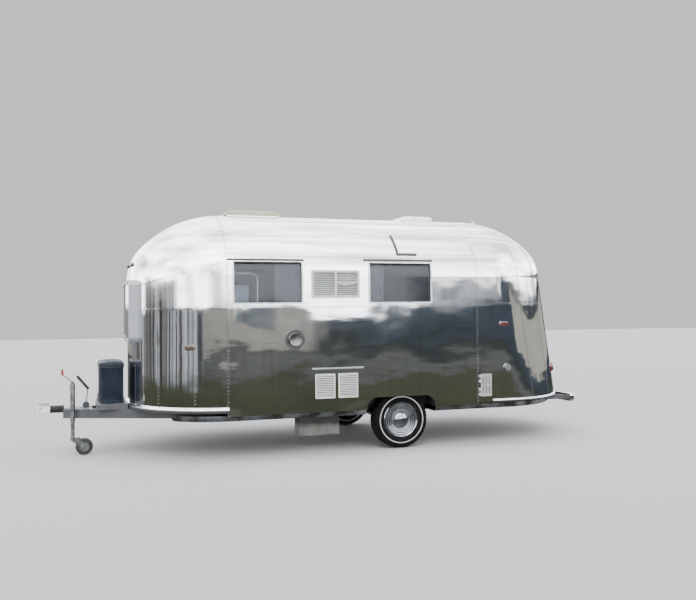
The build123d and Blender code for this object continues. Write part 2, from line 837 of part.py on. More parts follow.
bulge_radius = (bead_radius + tyre_radius) / 2
for side, name in ((-1, "left"), (1, "right")):
    wheel_plane = around_wheel(side)
    spin = Axis((axle_x, side * tyre_centre_y, tyre_radius), (0, 1, 0))
    half_tyre = tyre_width / 2
    with BuildPart() as tyre:
        with BuildSketch(wheel_plane):
            with BuildLine():
                Polyline((bead_radius, half_tyre - 28), (bead_radius, 28 - half_tyre))
                ThreePointArc((bead_radius, 28 - half_tyre), (bulge_radius, -half_tyre),
                              (tyre_radius - 9, 16 - half_tyre))
                ThreePointArc((tyre_radius - 9, 16 - half_tyre), (tyre_radius, 0),
                              (tyre_radius - 9, half_tyre - 16))
                ThreePointArc((tyre_radius - 9, half_tyre - 16), (bulge_radius, half_tyre),
                              (bead_radius, half_tyre - 28))
            make_face()
        revolve(axis=spin)
    export(tyre.part, f"tyre_{name}")

    seat = bead_radius - seat_gap
    half_rim = rim_width / 2
    with BuildPart() as rim:
        with BuildSketch(wheel_plane):
            with BuildLine():
                Polyline(
                    (seat, 6 - half_rim), (seat, half_rim - 6),
                    (seat - rim_wall, half_rim - 6), (seat - rim_wall, 8),
                    (hub_radius, 20), (stub_radius + running_gap, 20),
                    (stub_radius + running_gap, 10 - drum_width),
                    (drum_radius, 10 - drum_width), (drum_radius, 0),
                    (seat - rim_wall, -2), (seat - rim_wall, 6 - half_rim),
                    close=True,
                )
            make_face()
        revolve(axis=spin)
    export(rim.part, f"rim_{name}")

    with BuildPart() as cover:
        with BuildSketch(wheel_plane):
            face_y = half_rim - 6
            with BuildLine():
                ThreePointArc((0, face_y + 46), (46, face_y + 38), (82, face_y + 14))
                Polyline(
                    (82, face_y + 14), (88, face_y + 6), (98, face_y + 6), (106, face_y + 13),
                    (114, face_y + 8), (184, face_y + 20), (192, face_y + 27),
                    (cover_radius - 6, face_y + 27), (cover_radius, face_y + 21),
                    (cover_radius, face_y + 15), (seat - 1.5, face_y + seat_gap),
                    (0, face_y + seat_gap), (0, face_y + 46),
                )
            make_face()
        revolve(axis=spin)
    export(cover.part, f"wheel_cover_{name}")

# Fridge vent, lower vent panels, flue, hatch and inlet of the left wall


def left_plane(x, y, z):
    """Upright plane facing out of the left wall, its x along +X."""
    return Plane((x, y, z), (1, 0, 0), (0, -1, 0))


left_face_y = -half_width - seat_gap
vent_x0, vent_x1 = fridge_vent_x
vent_z0, vent_z1 = fridge_vent_z
vent_mid = (vent_x0 + vent_x1) / 2
grille_half = vent_mid - vent_x0 - 1.5 * fridge_vent_border
grille_z0 = vent_z0 + fridge_vent_border
grille_z1 = vent_z1 - fridge_vent_border
louvre_angle = radians(louvre_slope)
louvre_normal = (0, -sin(louvre_angle), cos(louvre_angle))
with BuildPart() as fridge_vent:
    add(side_prism(vent_x0 + seat_gap, vent_x1 - seat_gap, vent_z0 + seat_gap, vent_z1 - seat_gap,
                   window_corner / 2, -1))
    for x0 in (vent_x0 + fridge_vent_border, vent_mid + fridge_vent_border / 2):
        add(
            side_prism(x0, x0 + grille_half, grille_z0, grille_z1, louvre_corner, -1),
            mode=Mode.SUBTRACT,
        )
    add(frame_skin.part, mode=Mode.INTERSECT)
    louvre_pitch = (grille_z1 - grille_z0) / louvre_count
    for row in range(louvre_count):
        slat_z = grille_z0 + (row + 0.5) * louvre_pitch
        for side in (-1, 1):
            if side > 0 and row == bent_louvre:
                continue
            slat_x = vent_mid + side * (grille_half + fridge_vent_border) / 2
            with Locations(Plane((slat_x, wall / 2 - half_width, slat_z), (1, 0, 0), louvre_normal)):
                Box(grille_half + fridge_vent_border / 2, louvre_depth, louvre_thickness)
export(fridge_vent.part, "fridge_vent")

low, high = vent_panel_z
panel_pitch = (high - low - 2 * vent_panel_border) / vent_panel_louvres
with BuildPart() as lower_vents:
    for centre in vent_panel_x:
        with BuildSketch(left_plane(centre, left_face_y, (low + high) / 2)):
            RectangleRounded(vent_panel_width, high - low, louvre_corner)
        extrude(amount=vent_panel_thickness)
        for row in range(vent_panel_louvres):
            slat_z = low + vent_panel_border + (row + 0.5) * panel_pitch
            with BuildSketch(left_plane(centre, left_face_y, slat_z)):
                Rectangle(vent_panel_width - 2 * vent_panel_border, panel_pitch * 0.45)
            extrude(amount=2 * vent_panel_thickness)
    with BuildSketch(left_plane(sum(drip_strip_x) / 2, left_face_y, drip_strip_z)):
        Rectangle(drip_strip_x[1] - drip_strip_x[0], drip_strip_height)
    extrude(amount=drip_strip_depth)
export(lower_vents.part, "lower_vents")

with BuildPart() as wall_fittings:
    with BuildSketch(left_plane(flue_x, left_face_y, flue_z)):
        Circle(flue_radius)
    extrude(amount=flue_plate)
    with BuildSketch(left_plane(flue_x, left_face_y - flue_plate, flue_z)):
        Circle(flue_radius * 0.72)
    extrude(amount=flue_dome, taper=22)
    with BuildSketch(left_plane(inlet_x, left_face_y, inlet_z)):
        Circle(inlet_radius)
    extrude(amount=inlet_depth)
    add(body_form(-seat_gap, wall_foot_z - 50), mode=Mode.SUBTRACT)
export(wall_fittings.part, "wall_fittings")

hatch_hinge_x = hatch_x[0] + hatch_gap / 2
hatch_hinge_y = -half_width - hatch_hinge_stand_off
with BuildPart() as hatch_lid:
    with BuildSketch(hatch_plane.offset(hatch_proud)):
        RectangleRounded(hatch_length - 2 * hatch_gap, hatch_height - 2 * hatch_gap, hatch_corner)
    extrude(amount=-hatch_thickness)
    for height in hatch_hinge_heights:
        z0 = height - hatch_hinge_length / 2
        add(hinge_half(hatch_hinge_x, hatch_hinge_y, -half_width - hatch_proud, 1, z0,
                       z0 + hatch_hinge_length, hatch_hinge_radius, hatch_leaf))
        with Locations((hatch_hinge_x, hatch_hinge_y, height)):
            Cylinder(hatch_pin_radius + running_gap, hatch_hinge_length, mode=Mode.SUBTRACT)
    with BuildSketch(hatch_plane.offset(hatch_proud)):
        with GridLocations(*hatch_slot_pitch, 3, 2):
            RectangleRounded(*hatch_slot, hatch_slot[0] / 2 - 1)
    extrude(amount=-hatch_slot_depth, mode=Mode.SUBTRACT)
export(hatch_lid.part, "service_hatch_lid")

hinge_table = [
    # x, y, wall face y, knuckle radius, pin radius, moving length, leaf reach, height
    *((hinge_x, hinge_y, half_width + seat_gap, hinge_radius, hinge_pin_radius, hinge_length,
       hinge_leaf, height) for height in hinge_heights),
    *((hatch_hinge_x, hatch_hinge_y, left_face_y, hatch_hinge_radius, hatch_pin_radius,
       hatch_hinge_length, hatch_leaf, height) for height in hatch_hinge_heights),
]
with BuildPart() as hinge_leaves:
    for x, y, face_y, radius, pin_radius, length, reach, height in hinge_table:
        for z0 in (height + length / 2 + running_gap, height - length / 2 - running_gap - hinge_end):
            add(hinge_half(x, y, face_y, -1, z0, z0 + hinge_end, radius, reach))
        with Locations((x, y, height)):
            Cylinder(pin_radius, length + 2 * running_gap + hinge_end)
export(hinge_leaves.part, "hinge_leaves")

# Roof vents, pipe and bracket

with BuildPart() as vent_bases:
    for _, plane, length, width, _, _ in vent_table:
        base_length = length - 2 * base_inset
        base_width = width - 2 * base_inset
        with BuildSketch(plane.offset(-vent_base_depth)):
            Rectangle(base_length - 2 * seat_gap, base_width - 2 * seat_gap)
            Rectangle(base_length - 2 * vent_base_wall, base_width - 2 * vent_base_wall,
                      mode=Mode.SUBTRACT)
        extrude(amount=vent_base_depth + vent_base_height)
    add(inner_form, mode=Mode.SUBTRACT)
export(vent_bases.part, "roof_vent_bases")

for name, plane, length, width, crown, top_shares in vent_table:
    skirt_plane = plane.offset(vent_base_height - vent_lid_skirt)
    inner_length = length - 2 * vent_lid_wall
    inner_width = width - 2 * vent_lid_wall
    with BuildPart() as vent_lid:
        with BuildSketch(skirt_plane):
            RectangleRounded(length, width, vent_lid_corner)
        extrude(amount=vent_lid_skirt + vent_lid_top)
        for share, rise in ((1, 0), (top_shares[0], lid_shoulder), (top_shares[1], 1)):
            with BuildSketch(plane.offset(vent_base_height + vent_lid_top + rise * crown)):
                RectangleRounded(length * share, width * share, vent_lid_corner)
        loft(ruled=True)
        with BuildSketch(skirt_plane):
            RectangleRounded(inner_length, inner_width, vent_lid_corner - vent_lid_wall)
        extrude(amount=vent_lid_skirt + seat_gap, mode=Mode.SUBTRACT)
        for side in (-1, 1):
            with Locations(skirt_plane.offset(vent_hinge_radius)):
                with Locations((-length / 2 - vent_hinge_radius / 2, side * width / 4)):
                    Cylinder(vent_hinge_radius, vent_hinge_length, rotation=(90, 0, 0))
    export(vent_lid.part, f"roof_vent_{name}_lid")

with BuildPart() as roof_pipe:
    with BuildSketch(Plane.XY.offset(roof_z - vent_base_depth)):
        with Locations((roof_pipe_x, 0)):
            Circle(roof_pipe_radius)
            Circle(roof_pipe_radius - roof_pipe_wall, mode=Mode.SUBTRACT)
    extrude(amount=roof_pipe_top_z - roof_z + vent_base_depth)
    with BuildSketch(Plane.XY.offset(roof_z - roof_pipe_flange_depth)):
        with Locations((roof_pipe_x, 0)):
            Circle(2 * roof_pipe_radius)
            Circle(roof_pipe_radius - roof_pipe_wall, mode=Mode.SUBTRACT)
    extrude(amount=roof_pipe_flange_depth)
    add(body_form(-seat_gap, wall_foot_z), mode=Mode.SUBTRACT)
export(roof_pipe.part, "roof_pipe")

with BuildPart() as bracket:
    with BuildSketch(Plane.XZ):
        with Locations((bracket_x + bracket_arm / 2, bracket_foot_z)):
            Rectangle(bracket_arm + bracket_width, bracket_width)
        with Locations((bracket_x, bracket_foot_z + bracket_height / 2)):
            Rectangle(bracket_width, bracket_height + bracket_width)
    extrude(amount=half_width)
    add(body_form(-bracket_thickness, wall_foot_z), mode=Mode.INTERSECT)
    add(body_form(-seat_gap, wall_foot_z - 50), mode=Mode.SUBTRACT)
export(bracket.part, "roof_bracket")

# Rub rail round the front, trim round the rear, bumper


def skirting(depth, z0, z1, station, end):
    """Band of the given depth round one end of the body, beyond station."""
    with BuildPart() as band:
        add(body_form(-depth, z0))
        split(bisect_by=Plane.XY.offset(z1), keep=Keep.BOTTOM)
        split(bisect_by=Plane((station, 0, 0), (0, 1, 0), (end, 0, 0)), keep=Keep.TOP)
        add(body_form(-seat_gap, z0 - 50), mode=Mode.SUBTRACT)
    return band.part


with BuildPart() as rub_rails:
    add(skirting(rub_depth, rub_foot_z, rub_foot_z + rub_height, front_seam_x, -1))
    add(skirting(rear_rub_depth, rear_foot_z, rear_foot_z + rear_rub_height, rear_trim_x, 1))
export(rub_rails.part, "rub_rails")

with BuildPart() as bumper:
    with BuildSketch(Plane.YZ.offset(bumper_rear_x - bumper_depth)):
        with Locations((0, bumper_foot_z + bumper_height / 2)):
            RectangleRounded(2 * bumper_half_length, bumper_height, bumper_end_radius)
    extrude(amount=bumper_depth)
    fillet(bumper.faces().sort_by(Axis.X)[-1].edges(), bumper_edge_radius)
export(bumper.part, "rear_bumper")

# Coupling head, bellows, hand brake lever

with BuildPart() as coupling_head:
    with BuildSketch(Plane.XY.offset(coupling_z - 22)):
        with BuildLine():
            Polyline((coupling_back_x, 34), (coupling_tip_x + 50, 46))
            ThreePointArc((coupling_tip_x + 50, 46), (coupling_tip_x, 0), (coupling_tip_x + 50, -46))
            Polyline((coupling_tip_x + 50, -46), (coupling_back_x, -34), (coupling_back_x, 34))
        make_face()
    extrude(amount=56, taper=8)
    with Locations((coupling_tip_x + 52, 0, coupling_z - 22 + coupling_socket_depth / 2)):
        Cylinder(coupling_socket_radius, coupling_socket_depth, mode=Mode.SUBTRACT)
    with Locations((coupling_back_x - 62, 0, coupling_z + 48)):
        Box(110, 26, 48)
    with BuildSketch(Plane.YZ.offset(coupling_back_x - 20)):
        with Locations((0, coupling_z)):
            Circle(24)
    extrude(amount=drawbar_tip_x - seat_gap - coupling_back_x + 20)
export(coupling_head.part, "coupling_head")

with BuildPart() as bellows:
    fold = (drawbar_tip_x - coupling_back_x - 2 * seat_gap) / bellows_folds
    with BuildSketch(Plane.XZ):
        with BuildLine():
            points = [(coupling_back_x + seat_gap, coupling_z + 25)]
            for index in range(bellows_folds):
                start = coupling_back_x + seat_gap + index * fold
                points.append((start, coupling_z + bellows_radius - bellows_groove))
                points.append((start + fold / 2, coupling_z + bellows_radius))
            points.append((drawbar_tip_x - seat_gap, coupling_z + bellows_radius - bellows_groove))
            points.append((drawbar_tip_x - seat_gap, coupling_z + 25))
            Polyline(*points, close=True)
        make_face()
    revolve(axis=Axis((0, 0, coupling_z), (1, 0, 0)))
export(bellows.part, "coupling_bellows")

with BuildPart() as brake_lever:
    with BuildSketch(Plane.XZ.offset(-(brake_lever_y - brake_eye_width / 2))):
        with Locations((brake_pivot_x, brake_pivot_z)):
            Circle(brake_eye_radius)
            Circle(brake_pin_radius + running_gap, mode=Mode.SUBTRACT)
    extrude(amount=-brake_eye_width)
    rod_start = Vector(brake_pivot_x + 2, brake_lever_y, brake_pivot_z + brake_eye_radius - 4)
    rod_end = Vector(brake_pivot_x + brake_rod_top[0], brake_lever_y, brake_pivot_z + brake_rod_top[1])
    grip_end = Vector(brake_pivot_x + brake_grip_top[0], brake_lever_y,
                      brake_pivot_z + brake_grip_top[1])
    with BuildSketch(Plane(rod_start, z_dir=rod_end - rod_start)):
        Circle(brake_rod_radius)
    extrude(amount=(rod_end - rod_start).length)
    grip_start = rod_end - (grip_end - rod_end).normalized() * brake_grip_radius
    with BuildSketch(Plane(grip_start, z_dir=grip_end - rod_end)):
        Circle(brake_grip_radius)
    extrude(amount=(grip_end - grip_start).length)
export(brake_lever.part, "brake_lever")

# Gas tray and cover

with BuildPart() as gas_tray:
    with Locations(((tray_x[0] + tray_x[1]) / 2, 0, floor_z + seat_gap + tray_height / 2)):
        Box(tray_x[1] - tray_x[0], 2 * tray_half_width, tray_height)
    with Locations(((tray_x[0] + tray_x[1]) / 2, 0, floor_z + seat_gap + tray_height / 2 - 4)):
        Box(tray_x[1] - tray_x[0] - 8, 2 * tray_half_width - 8, tray_height - 4, mode=Mode.SUBTRACT)
export(gas_tray.part, "gas_tray")

cover_foot = floor_z + 2 * seat_gap + tray_height
with BuildPart() as gas_cover:
    with BuildSketch(Plane(((gas_cover_x[0] + gas_cover_x[1]) / 2, 0, cover_foot))):
        RectangleRounded(gas_cover_x[1] - gas_cover_x[0] - 2 * gas_flap_proud,
                         2 * (gas_cover_half_width - gas_flap_proud), gas_cover_corner)
    extrude(amount=gas_cover_height)
    with BuildSketch(Plane(((gas_cover_x[0] + gas_cover_x[1]) / 2, 0,
                            cover_foot + gas_cover_height - gas_flap_height))):
        RectangleRounded(gas_cover_x[1] - gas_cover_x[0], 2 * gas_cover_half_width, gas_cover_corner)
    extrude(amount=gas_flap_height)
    fillet(gas_cover.faces().sort_by(Axis.Z)[-1].edges(), gas_cover_edge)
    with BuildSketch(Plane(((gas_cover_x[0] + gas_cover_x[1]) / 2, 0, cover_foot))):
        RectangleRounded(gas_cover_x[1] - gas_cover_x[0] - 2 * gas_cover_wall,
                         2 * (gas_cover_half_width - gas_cover_wall), gas_cover_corner - gas_cover_wall)
    extrude(amount=gas_cover_height - gas_cover_wall, mode=Mode.SUBTRACT)
export(gas_cover.part, "gas_bottle_cover")

# Jockey stand

jockey_post = (jockey_x, jockey_y)
with BuildPart() as jockey_outer:
    low, high = jockey_outer_z
    with BuildSketch(Plane.XY.offset(low)):
        with Locations(jockey_post):
            Circle(jockey_outer_radius)
            Circle(jockey_inner_radius + running_gap, mode=Mode.SUBTRACT)
    extrude(amount=high - low - 10)
    with BuildSketch(Plane.XY.offset(high - 10)):
        with Locations(jockey_post):
            Circle(jockey_outer_radius)
    extrude(amount=10)
    clamp_inner_y = jockey_y + jockey_outer_radius - 3
    beam_skin = rail_width / 2 / cos(beam_angle) + seat_gap
    with BuildSketch(Plane.XY.offset(rail_mid_z - jockey_clamp_height / 2)):
        with BuildLine():
            front_x = jockey_x - jockey_clamp_length / 2
            rear_x = jockey_x + jockey_clamp_length / 2
            Polyline((front_x, clamp_inner_y), (rear_x, clamp_inner_y),
                     (rear_x, -beam_centre_y(rear_x) - beam_skin),
                     (front_x, -beam_centre_y(front_x) - beam_skin), close=True)
        make_face()
    extrude(amount=jockey_clamp_height)
export(jockey_outer.part, "jockey_outer_tube")

with BuildPart() as jockey_crank:
    with Locations((jockey_x, jockey_y, jockey_outer_z[1] + seat_gap + 9)):
        Cylinder(14, 18)
    arm_start = Vector(jockey_x, jockey_y, jockey_outer_z[1] + 14)
    arm_end = Vector(jockey_x - crank_length, jockey_y, jockey_outer_z[1] + crank_rise + 14)
    with BuildSketch(Plane(arm_start, z_dir=arm_end - arm_start)):
        Circle(crank_radius)
    extrude(amount=(arm_end - arm_start).length)
    with BuildSketch(Plane(arm_end - Vector(0, 0, 2 * crank_radius))):
        Circle(crank_grip_radius)
    extrude(amount=crank_grip_length)
    fillet(jockey_crank.faces().sort_by(Axis.Z)[-1].edges(), crank_grip_radius / 2)
export(jockey_crank.part, "jockey_crank")

with BuildPart() as jockey_inner:
    with BuildSketch(Plane.XY.offset(jockey_crown_z + seat_gap)):
        with Locations(jockey_post):
            Circle(jockey_inner_radius)
    extrude(amount=jockey_inner_top_z - jockey_crown_z - seat_gap)
export(jockey_inner.part, "jockey_inner_tube")

fork_half = jockey_wheel_width / 2 + jockey_fork_gap
jockey_wheel_x = jockey_x + jockey_trail
with BuildPart() as jockey_fork:
    with BuildSketch(Plane.XY.offset(jockey_crown_z - 12)):
        with Locations((jockey_x + 20, jockey_y)):
            RectangleRounded(96, 2 * (fork_half + jockey_fork_thickness), 12)
    extrude(amount=12)
    for side in (-1, 1):
        with BuildSketch(Plane.XZ.offset(-(jockey_y + side * fork_half))):
            with BuildLine():
                Polyline(
                    (jockey_x - 28, jockey_crown_z), (jockey_x + 68, jockey_crown_z),
                    (jockey_wheel_x + 18, jockey_wheel_radius + 10),
                    (jockey_wheel_x + 18, jockey_wheel_radius - 16),
                    (jockey_wheel_x - 18, jockey_wheel_radius - 16),
                    (jockey_x - 28, jockey_crown_z - 26),
                    close=True,
                )
            make_face()
        extrude(amount=-side * jockey_fork_thickness)
    with BuildSketch(Plane.XZ.offset(-jockey_y)):
        with Locations((jockey_wheel_x, jockey_wheel_radius)):
            Circle(jockey_axle_radius)
    extrude(amount=fork_half + jockey_fork_thickness + 4, both=True)
export(jockey_fork.part, "jockey_fork")

jockey_spin = Axis((jockey_wheel_x, jockey_y, jockey_wheel_radius), (0, 1, 0))
jockey_plane = Plane((jockey_wheel_x, jockey_y, jockey_wheel_radius), (0, 0, 1), (1, 0, 0))
half_jockey = jockey_wheel_width / 2
with BuildPart() as jockey_tyre:
    with BuildSketch(jockey_plane):
        with BuildLine():
            Polyline((jockey_hub_radius, half_jockey), (jockey_hub_radius, -half_jockey),
                     (jockey_wheel_radius - 14, -half_jockey))
            ThreePointArc((jockey_wheel_radius - 14, -half_jockey), (jockey_wheel_radius, 0),
                          (jockey_wheel_radius - 14, half_jockey))
            Line((jockey_wheel_radius - 14, half_jockey), (jockey_hub_radius, half_jockey))
        make_face()
    revolve(axis=jockey_spin)
export(jockey_tyre.part, "jockey_tyre")

with BuildPart() as jockey_hub:
    with BuildSketch(jockey_plane):
        with BuildLine():
            Polyline(
                (jockey_axle_radius + running_gap, half_jockey), (20, half_jockey),
                (24, half_jockey - 12), (jockey_hub_radius - 8, half_jockey - 12),
                (jockey_hub_radius - seat_gap, half_jockey - 2),
                (jockey_hub_radius - seat_gap, 2 - half_jockey),
                (jockey_hub_radius - 8, 12 - half_jockey), (24, 12 - half_jockey),
                (20, -half_jockey), (jockey_axle_radius + running_gap, -half_jockey),
                close=True,
            )
        make_face()
    revolve(axis=jockey_spin)
export(jockey_hub.part, "jockey_hub")

# Underslung locker and entry step

locker_top_z = pan_foot_z - seat_gap
with BuildPart() as locker:
    with Locations((sum(locker_x) / 2, sum(locker_y) / 2, (locker_foot_z + locker_top_z) / 2)):
        Box(locker_x[1] - locker_x[0], locker_y[1] - locker_y[0], locker_top_z - locker_foot_z)
    fillet(locker.edges().filter_by(Axis.X).group_by(Axis.Z)[0], 14)
export(locker.part, "underslung_locker")

step_x = (door_front_x + door_x1) / 2
step_outer_y = half_width - 20
step_rail_x = (step_x - step_rail_spread, step_x + step_rail_spread)
with BuildPart() as step:
    with BuildSketch(Plane((step_x, step_outer_y - step_depth / 2, step_top_z - step_thickness))):
        RectangleRounded(step_length, step_depth, 20)
    extrude(amount=step_thickness)
    for rail_x in step_rail_x:
        with BuildSketch(Plane.XZ.offset(-step_rail_y[0])):
            with Locations((rail_x, step_rail_z)):
                Circle(step_rail_radius)
        extrude(amount=step_rail_y[0] - step_rail_y[1])
        for lug_y in (step_rail_y[1] - step_lug, step_outer_y - step_depth + step_lug):
            with Locations((rail_x, lug_y, (step_top_z + step_rail_z) / 2)):
                Box(2 * step_rail_radius - 2, step_lug, step_rail_z - step_top_z)
export(step.part, "entry_step")

with BuildPart() as runners:
    for rail_x in step_rail_x:
        with Locations((rail_x, sum(step_runner_y) / 2, (step_runner_foot_z + pan_foot_z - seat_gap) / 2)):
            Box(step_runner_width, step_runner_y[1] - step_runner_y[0],
                pan_foot_z - seat_gap - step_runner_foot_z)
        with Locations((rail_x, sum(step_runner_y) / 2, step_rail_z)):
            Cylinder(step_rail_radius + running_gap, step_runner_y[1] - step_runner_y[0],
                     rotation=(90, 0, 0), mode=Mode.SUBTRACT)
export(runners.part, "step_runners")

# Lamps


def corner_skin_y(x, centre_x):
    """Half width of the outer skin at station x, in a corner whose centre is at centre_x."""
    reach = x - centre_x
    return flat_half + (corner_radius ** 2 - reach ** 2) ** 0.5


def lamp(point, outward, radius, height):
    """Domed round lamp with its foot at point."""
    with BuildPart() as body:
        with BuildSketch(Plane(point, z_dir=outward)):
            Circle(radius)
        extrude(amount=height * 0.45)
        with BuildSketch(Plane(point, z_dir=outward).offset(height * 0.45)):
            Circle(radius * 0.86)
        extrude(amount=height * 0.55, taper=25)
    return body.part


def marker(point, outward):
    """Long side marker lamp with its foot at point, its length level along the skin."""
    level = Vector(-outward.Y, outward.X, 0)
    with BuildPart() as body:
        with BuildSketch(Plane(point, x_dir=level, z_dir=outward)):
            SlotOverall(*marker_size)
        extrude(amount=marker_height * 0.4)
        with BuildSketch(Plane(point, x_dir=level, z_dir=outward).offset(marker_height * 0.4)):
            SlotOverall(marker_size[0] - 8, marker_size[1] - 8)
        extrude(amount=marker_height * 0.6, taper=30)
    return body.part


front_centre_x = nose_x + corner_radius
rear_centre_x = tail_x - corner_radius
amber_x = axle_x - 2372
amber_z = 1193
red_x = axle_x + 1283
red_z = 1398
top_lamps = (
    # y of the corner's centre line, bearing from straight ahead
    (-flat_half, -top_lamp_bearing),
    (0, 0),
    (flat_half, top_lamp_bearing),
)
with BuildPart() as amber_lamps:
    for side in (-1, 1):
        skin_y = corner_skin_y(amber_x, front_centre_x)
        outward = Vector(amber_x - front_centre_x, side * (skin_y - flat_half), 0).normalized()
        foot = Vector(amber_x, side * skin_y, amber_z) + outward * seat_gap
        add(marker(foot, outward))
    lift = radians(top_lamp_lift)
    reach = corner_radius - shoulder_radius * (1 - cos(lift))
    for place_y, bearing in top_lamps:
        turned = radians(bearing)
        outward = Vector(-cos(lift) * cos(turned), cos(lift) * sin(turned), sin(lift))
        foot = Vector(front_centre_x - reach * cos(turned), place_y + reach * sin(turned),
                      spring_z + shoulder_radius * sin(lift)) + outward * seat_gap
        add(lamp(foot, outward, top_lamp_radius, marker_height))
export(amber_lamps.part, "amber_lamps")

with BuildPart() as red_lamps:
    for side in (-1, 1):
        red_centre_x = rear_centre_x + tail_slope * (spring_z - red_z)
        skin_y = corner_skin_y(red_x, red_centre_x)
        run = red_x - red_centre_x
        outward = Vector(run, side * (skin_y - flat_half), run * tail_slope).normalized()
        foot = Vector(red_x, side * skin_y, red_z) + outward * seat_gap
        add(marker(foot, outward))
    for side in (-1, 1):
        lamp_centre_x = rear_centre_x + tail_slope * (spring_z - tail_lamp_z)
        reach = tail_lamp_y - flat_half
        lamp_x = lamp_centre_x + (corner_radius ** 2 - reach ** 2) ** 0.5
        run = lamp_x - lamp_centre_x
        outward = Vector(run, side * reach, run * tail_slope).normalized()
        foot = Vector(lamp_x, side * tail_lamp_y, tail_lamp_z) + outward * seat_gap
        add(lamp(foot, outward, tail_lamp_radius, tail_lamp_height))
export(red_lamps.part, "red_lamps")
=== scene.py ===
"""Looks of a round-ended aluminium travel caravan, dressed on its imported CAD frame.

Metres. Front is -X, the photographed left side is -Y, up is +Z, and the ground is z = 0.
"""

from math import acos, asin, atan2, ceil, cos, hypot, pi, radians, sin, sqrt, tau

import bmesh
import bpy
from mathutils import Matrix, Vector
from mathutils import noise as ripple


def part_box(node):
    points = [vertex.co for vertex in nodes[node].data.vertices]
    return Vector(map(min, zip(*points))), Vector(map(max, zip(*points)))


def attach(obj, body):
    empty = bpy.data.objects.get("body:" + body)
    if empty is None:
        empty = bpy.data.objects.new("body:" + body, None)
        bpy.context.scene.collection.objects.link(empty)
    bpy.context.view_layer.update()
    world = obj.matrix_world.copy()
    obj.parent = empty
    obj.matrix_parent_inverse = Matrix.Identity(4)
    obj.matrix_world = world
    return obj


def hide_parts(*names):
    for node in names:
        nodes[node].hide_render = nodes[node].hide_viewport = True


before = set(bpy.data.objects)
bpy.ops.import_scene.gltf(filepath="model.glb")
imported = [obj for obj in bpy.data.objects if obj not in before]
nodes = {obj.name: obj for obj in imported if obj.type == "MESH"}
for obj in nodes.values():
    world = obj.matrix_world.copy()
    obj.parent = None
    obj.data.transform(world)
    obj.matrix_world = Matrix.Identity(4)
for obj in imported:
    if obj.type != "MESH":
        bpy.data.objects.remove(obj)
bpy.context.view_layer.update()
scene = bpy.context.scene


# Camera, floor and daylight
# The camera stands on the left, a little ahead of the middle, at the height of a person's eyes.
# A pale studio floor carries the caravan. Its polished skin mirrors an overcast sky above the
# horizon and a dark hedge, a road, a lawn and pale gravel below it, which only reflections see.

def new_object(name, data):
    """Object of some data, in the scene."""
    thing = bpy.data.objects.new(name, data)
    scene.collection.objects.link(thing)
    return thing


camera_place = Vector((-2.7914, -9.5053, 1.5782))
camera_heading = Vector((0.3210, 0.9471, 0.0122)).normalized()
camera_roll = -0.0086
focal_pixels = 800
picture_width = 696
sensor_width = 36

camera_data = bpy.data.cameras.new("photo_camera")
camera_data.sensor_width = sensor_width
camera_data.lens = focal_pixels / picture_width * sensor_width
camera = new_object("photo_camera", camera_data)
camera_right = camera_heading.cross(Vector((0, 0, 1))).normalized()
camera_up = camera_right.cross(camera_heading)
rolled_right = camera_right * cos(camera_roll) + camera_up * sin(camera_roll)
rolled_up = camera_up * cos(camera_roll) - camera_right * sin(camera_roll)
camera.matrix_world = Matrix((
    (rolled_right.x, rolled_up.x, -camera_heading.x, camera_place.x),
    (rolled_right.y, rolled_up.y, -camera_heading.y, camera_place.y),
    (rolled_right.z, rolled_up.z, -camera_heading.z, camera_place.z),
    (0, 0, 0, 1),
))
scene.camera = camera


def set_input(node, name, value):
    """Sets a node's input to a value, or links it from a socket."""
    if isinstance(value, bpy.types.NodeSocket):
        node.id_data.links.new(value, node.inputs[name])
    else:
        node.inputs[name].default_value = value


def add_node(tree, kind, values=None, **settings):
    """Node of a tree, with its settings, and its inputs set to values or linked from sockets."""
    node = tree.nodes.new(kind)
    for name, value in settings.items():
        setattr(node, name, value)
    for name, value in (values or {}).items():
        set_input(node, name, value)
    return node


def result(tree, kind, values=None, **settings):
    """First output of a new node of a tree."""
    return add_node(tree, kind, values, **settings).outputs[0]


def tree_of(*values):
    """Node tree of the first socket among values."""
    return next(value.id_data for value in values if isinstance(value, bpy.types.NodeSocket))


def tint(colour):
    """Red, green, blue and alpha of a colour or a grey; a socket stays as it is."""
    if isinstance(colour, bpy.types.NodeSocket):
        return colour
    return (*colour, 1) if isinstance(colour, tuple) else (colour, colour, colour, 1)


def ramp(factor, stops):
    """Colour from a factor, through stops of (position, grey or colour)."""
    node = add_node(tree_of(factor), "ShaderNodeValToRGB", {"Fac": factor})
    elements = node.color_ramp.elements
    while len(elements) < len(stops):
        elements.new(0.5)
    for element, (position, colour) in zip(elements, stops):
        element.position = position
        element.color = tint(colour)
    return node.outputs["Color"]


def noise(vector, scale, detail=3.0, stretch=(1, 1, 1)):
    """Noise of a given scale, stretched along the axes where stretch is small."""
    tree = tree_of(vector)
    mapping = add_node(tree, "ShaderNodeMapping", {"Vector": vector, "Scale": stretch})
    values = {"Vector": mapping.outputs["Vector"], "Scale": scale, "Detail": detail}
    return result(tree, "ShaderNodeTexNoise", values)


def maths(operation, first, second=0.5, third=0.0):
    """One step of arithmetic on sockets or numbers."""
    values = {0: first, 1: second, 2: third}
    return result(tree_of(*values.values()), "ShaderNodeMath", values, operation=operation)


def span(value, start, stop, low=0.0, high=1.0):
    """Share from low to high as a value runs from start to stop, held beyond them."""
    values = {"Value": value, "From Min": start, "From Max": stop, "To Min": low, "To Max": high}
    return result(tree_of(value), "ShaderNodeMapRange", values)


def product(*factors):
    """Product of shares."""
    share = factors[0]
    for factor in factors[1:]:
        share = maths("MULTIPLY", share, factor)
    return share


def between(value, start, stop, edge):
    """1 where a value lies between start and stop, fading over an edge outside them."""
    return product(span(value, start - edge, start), span(value, stop + edge, stop))


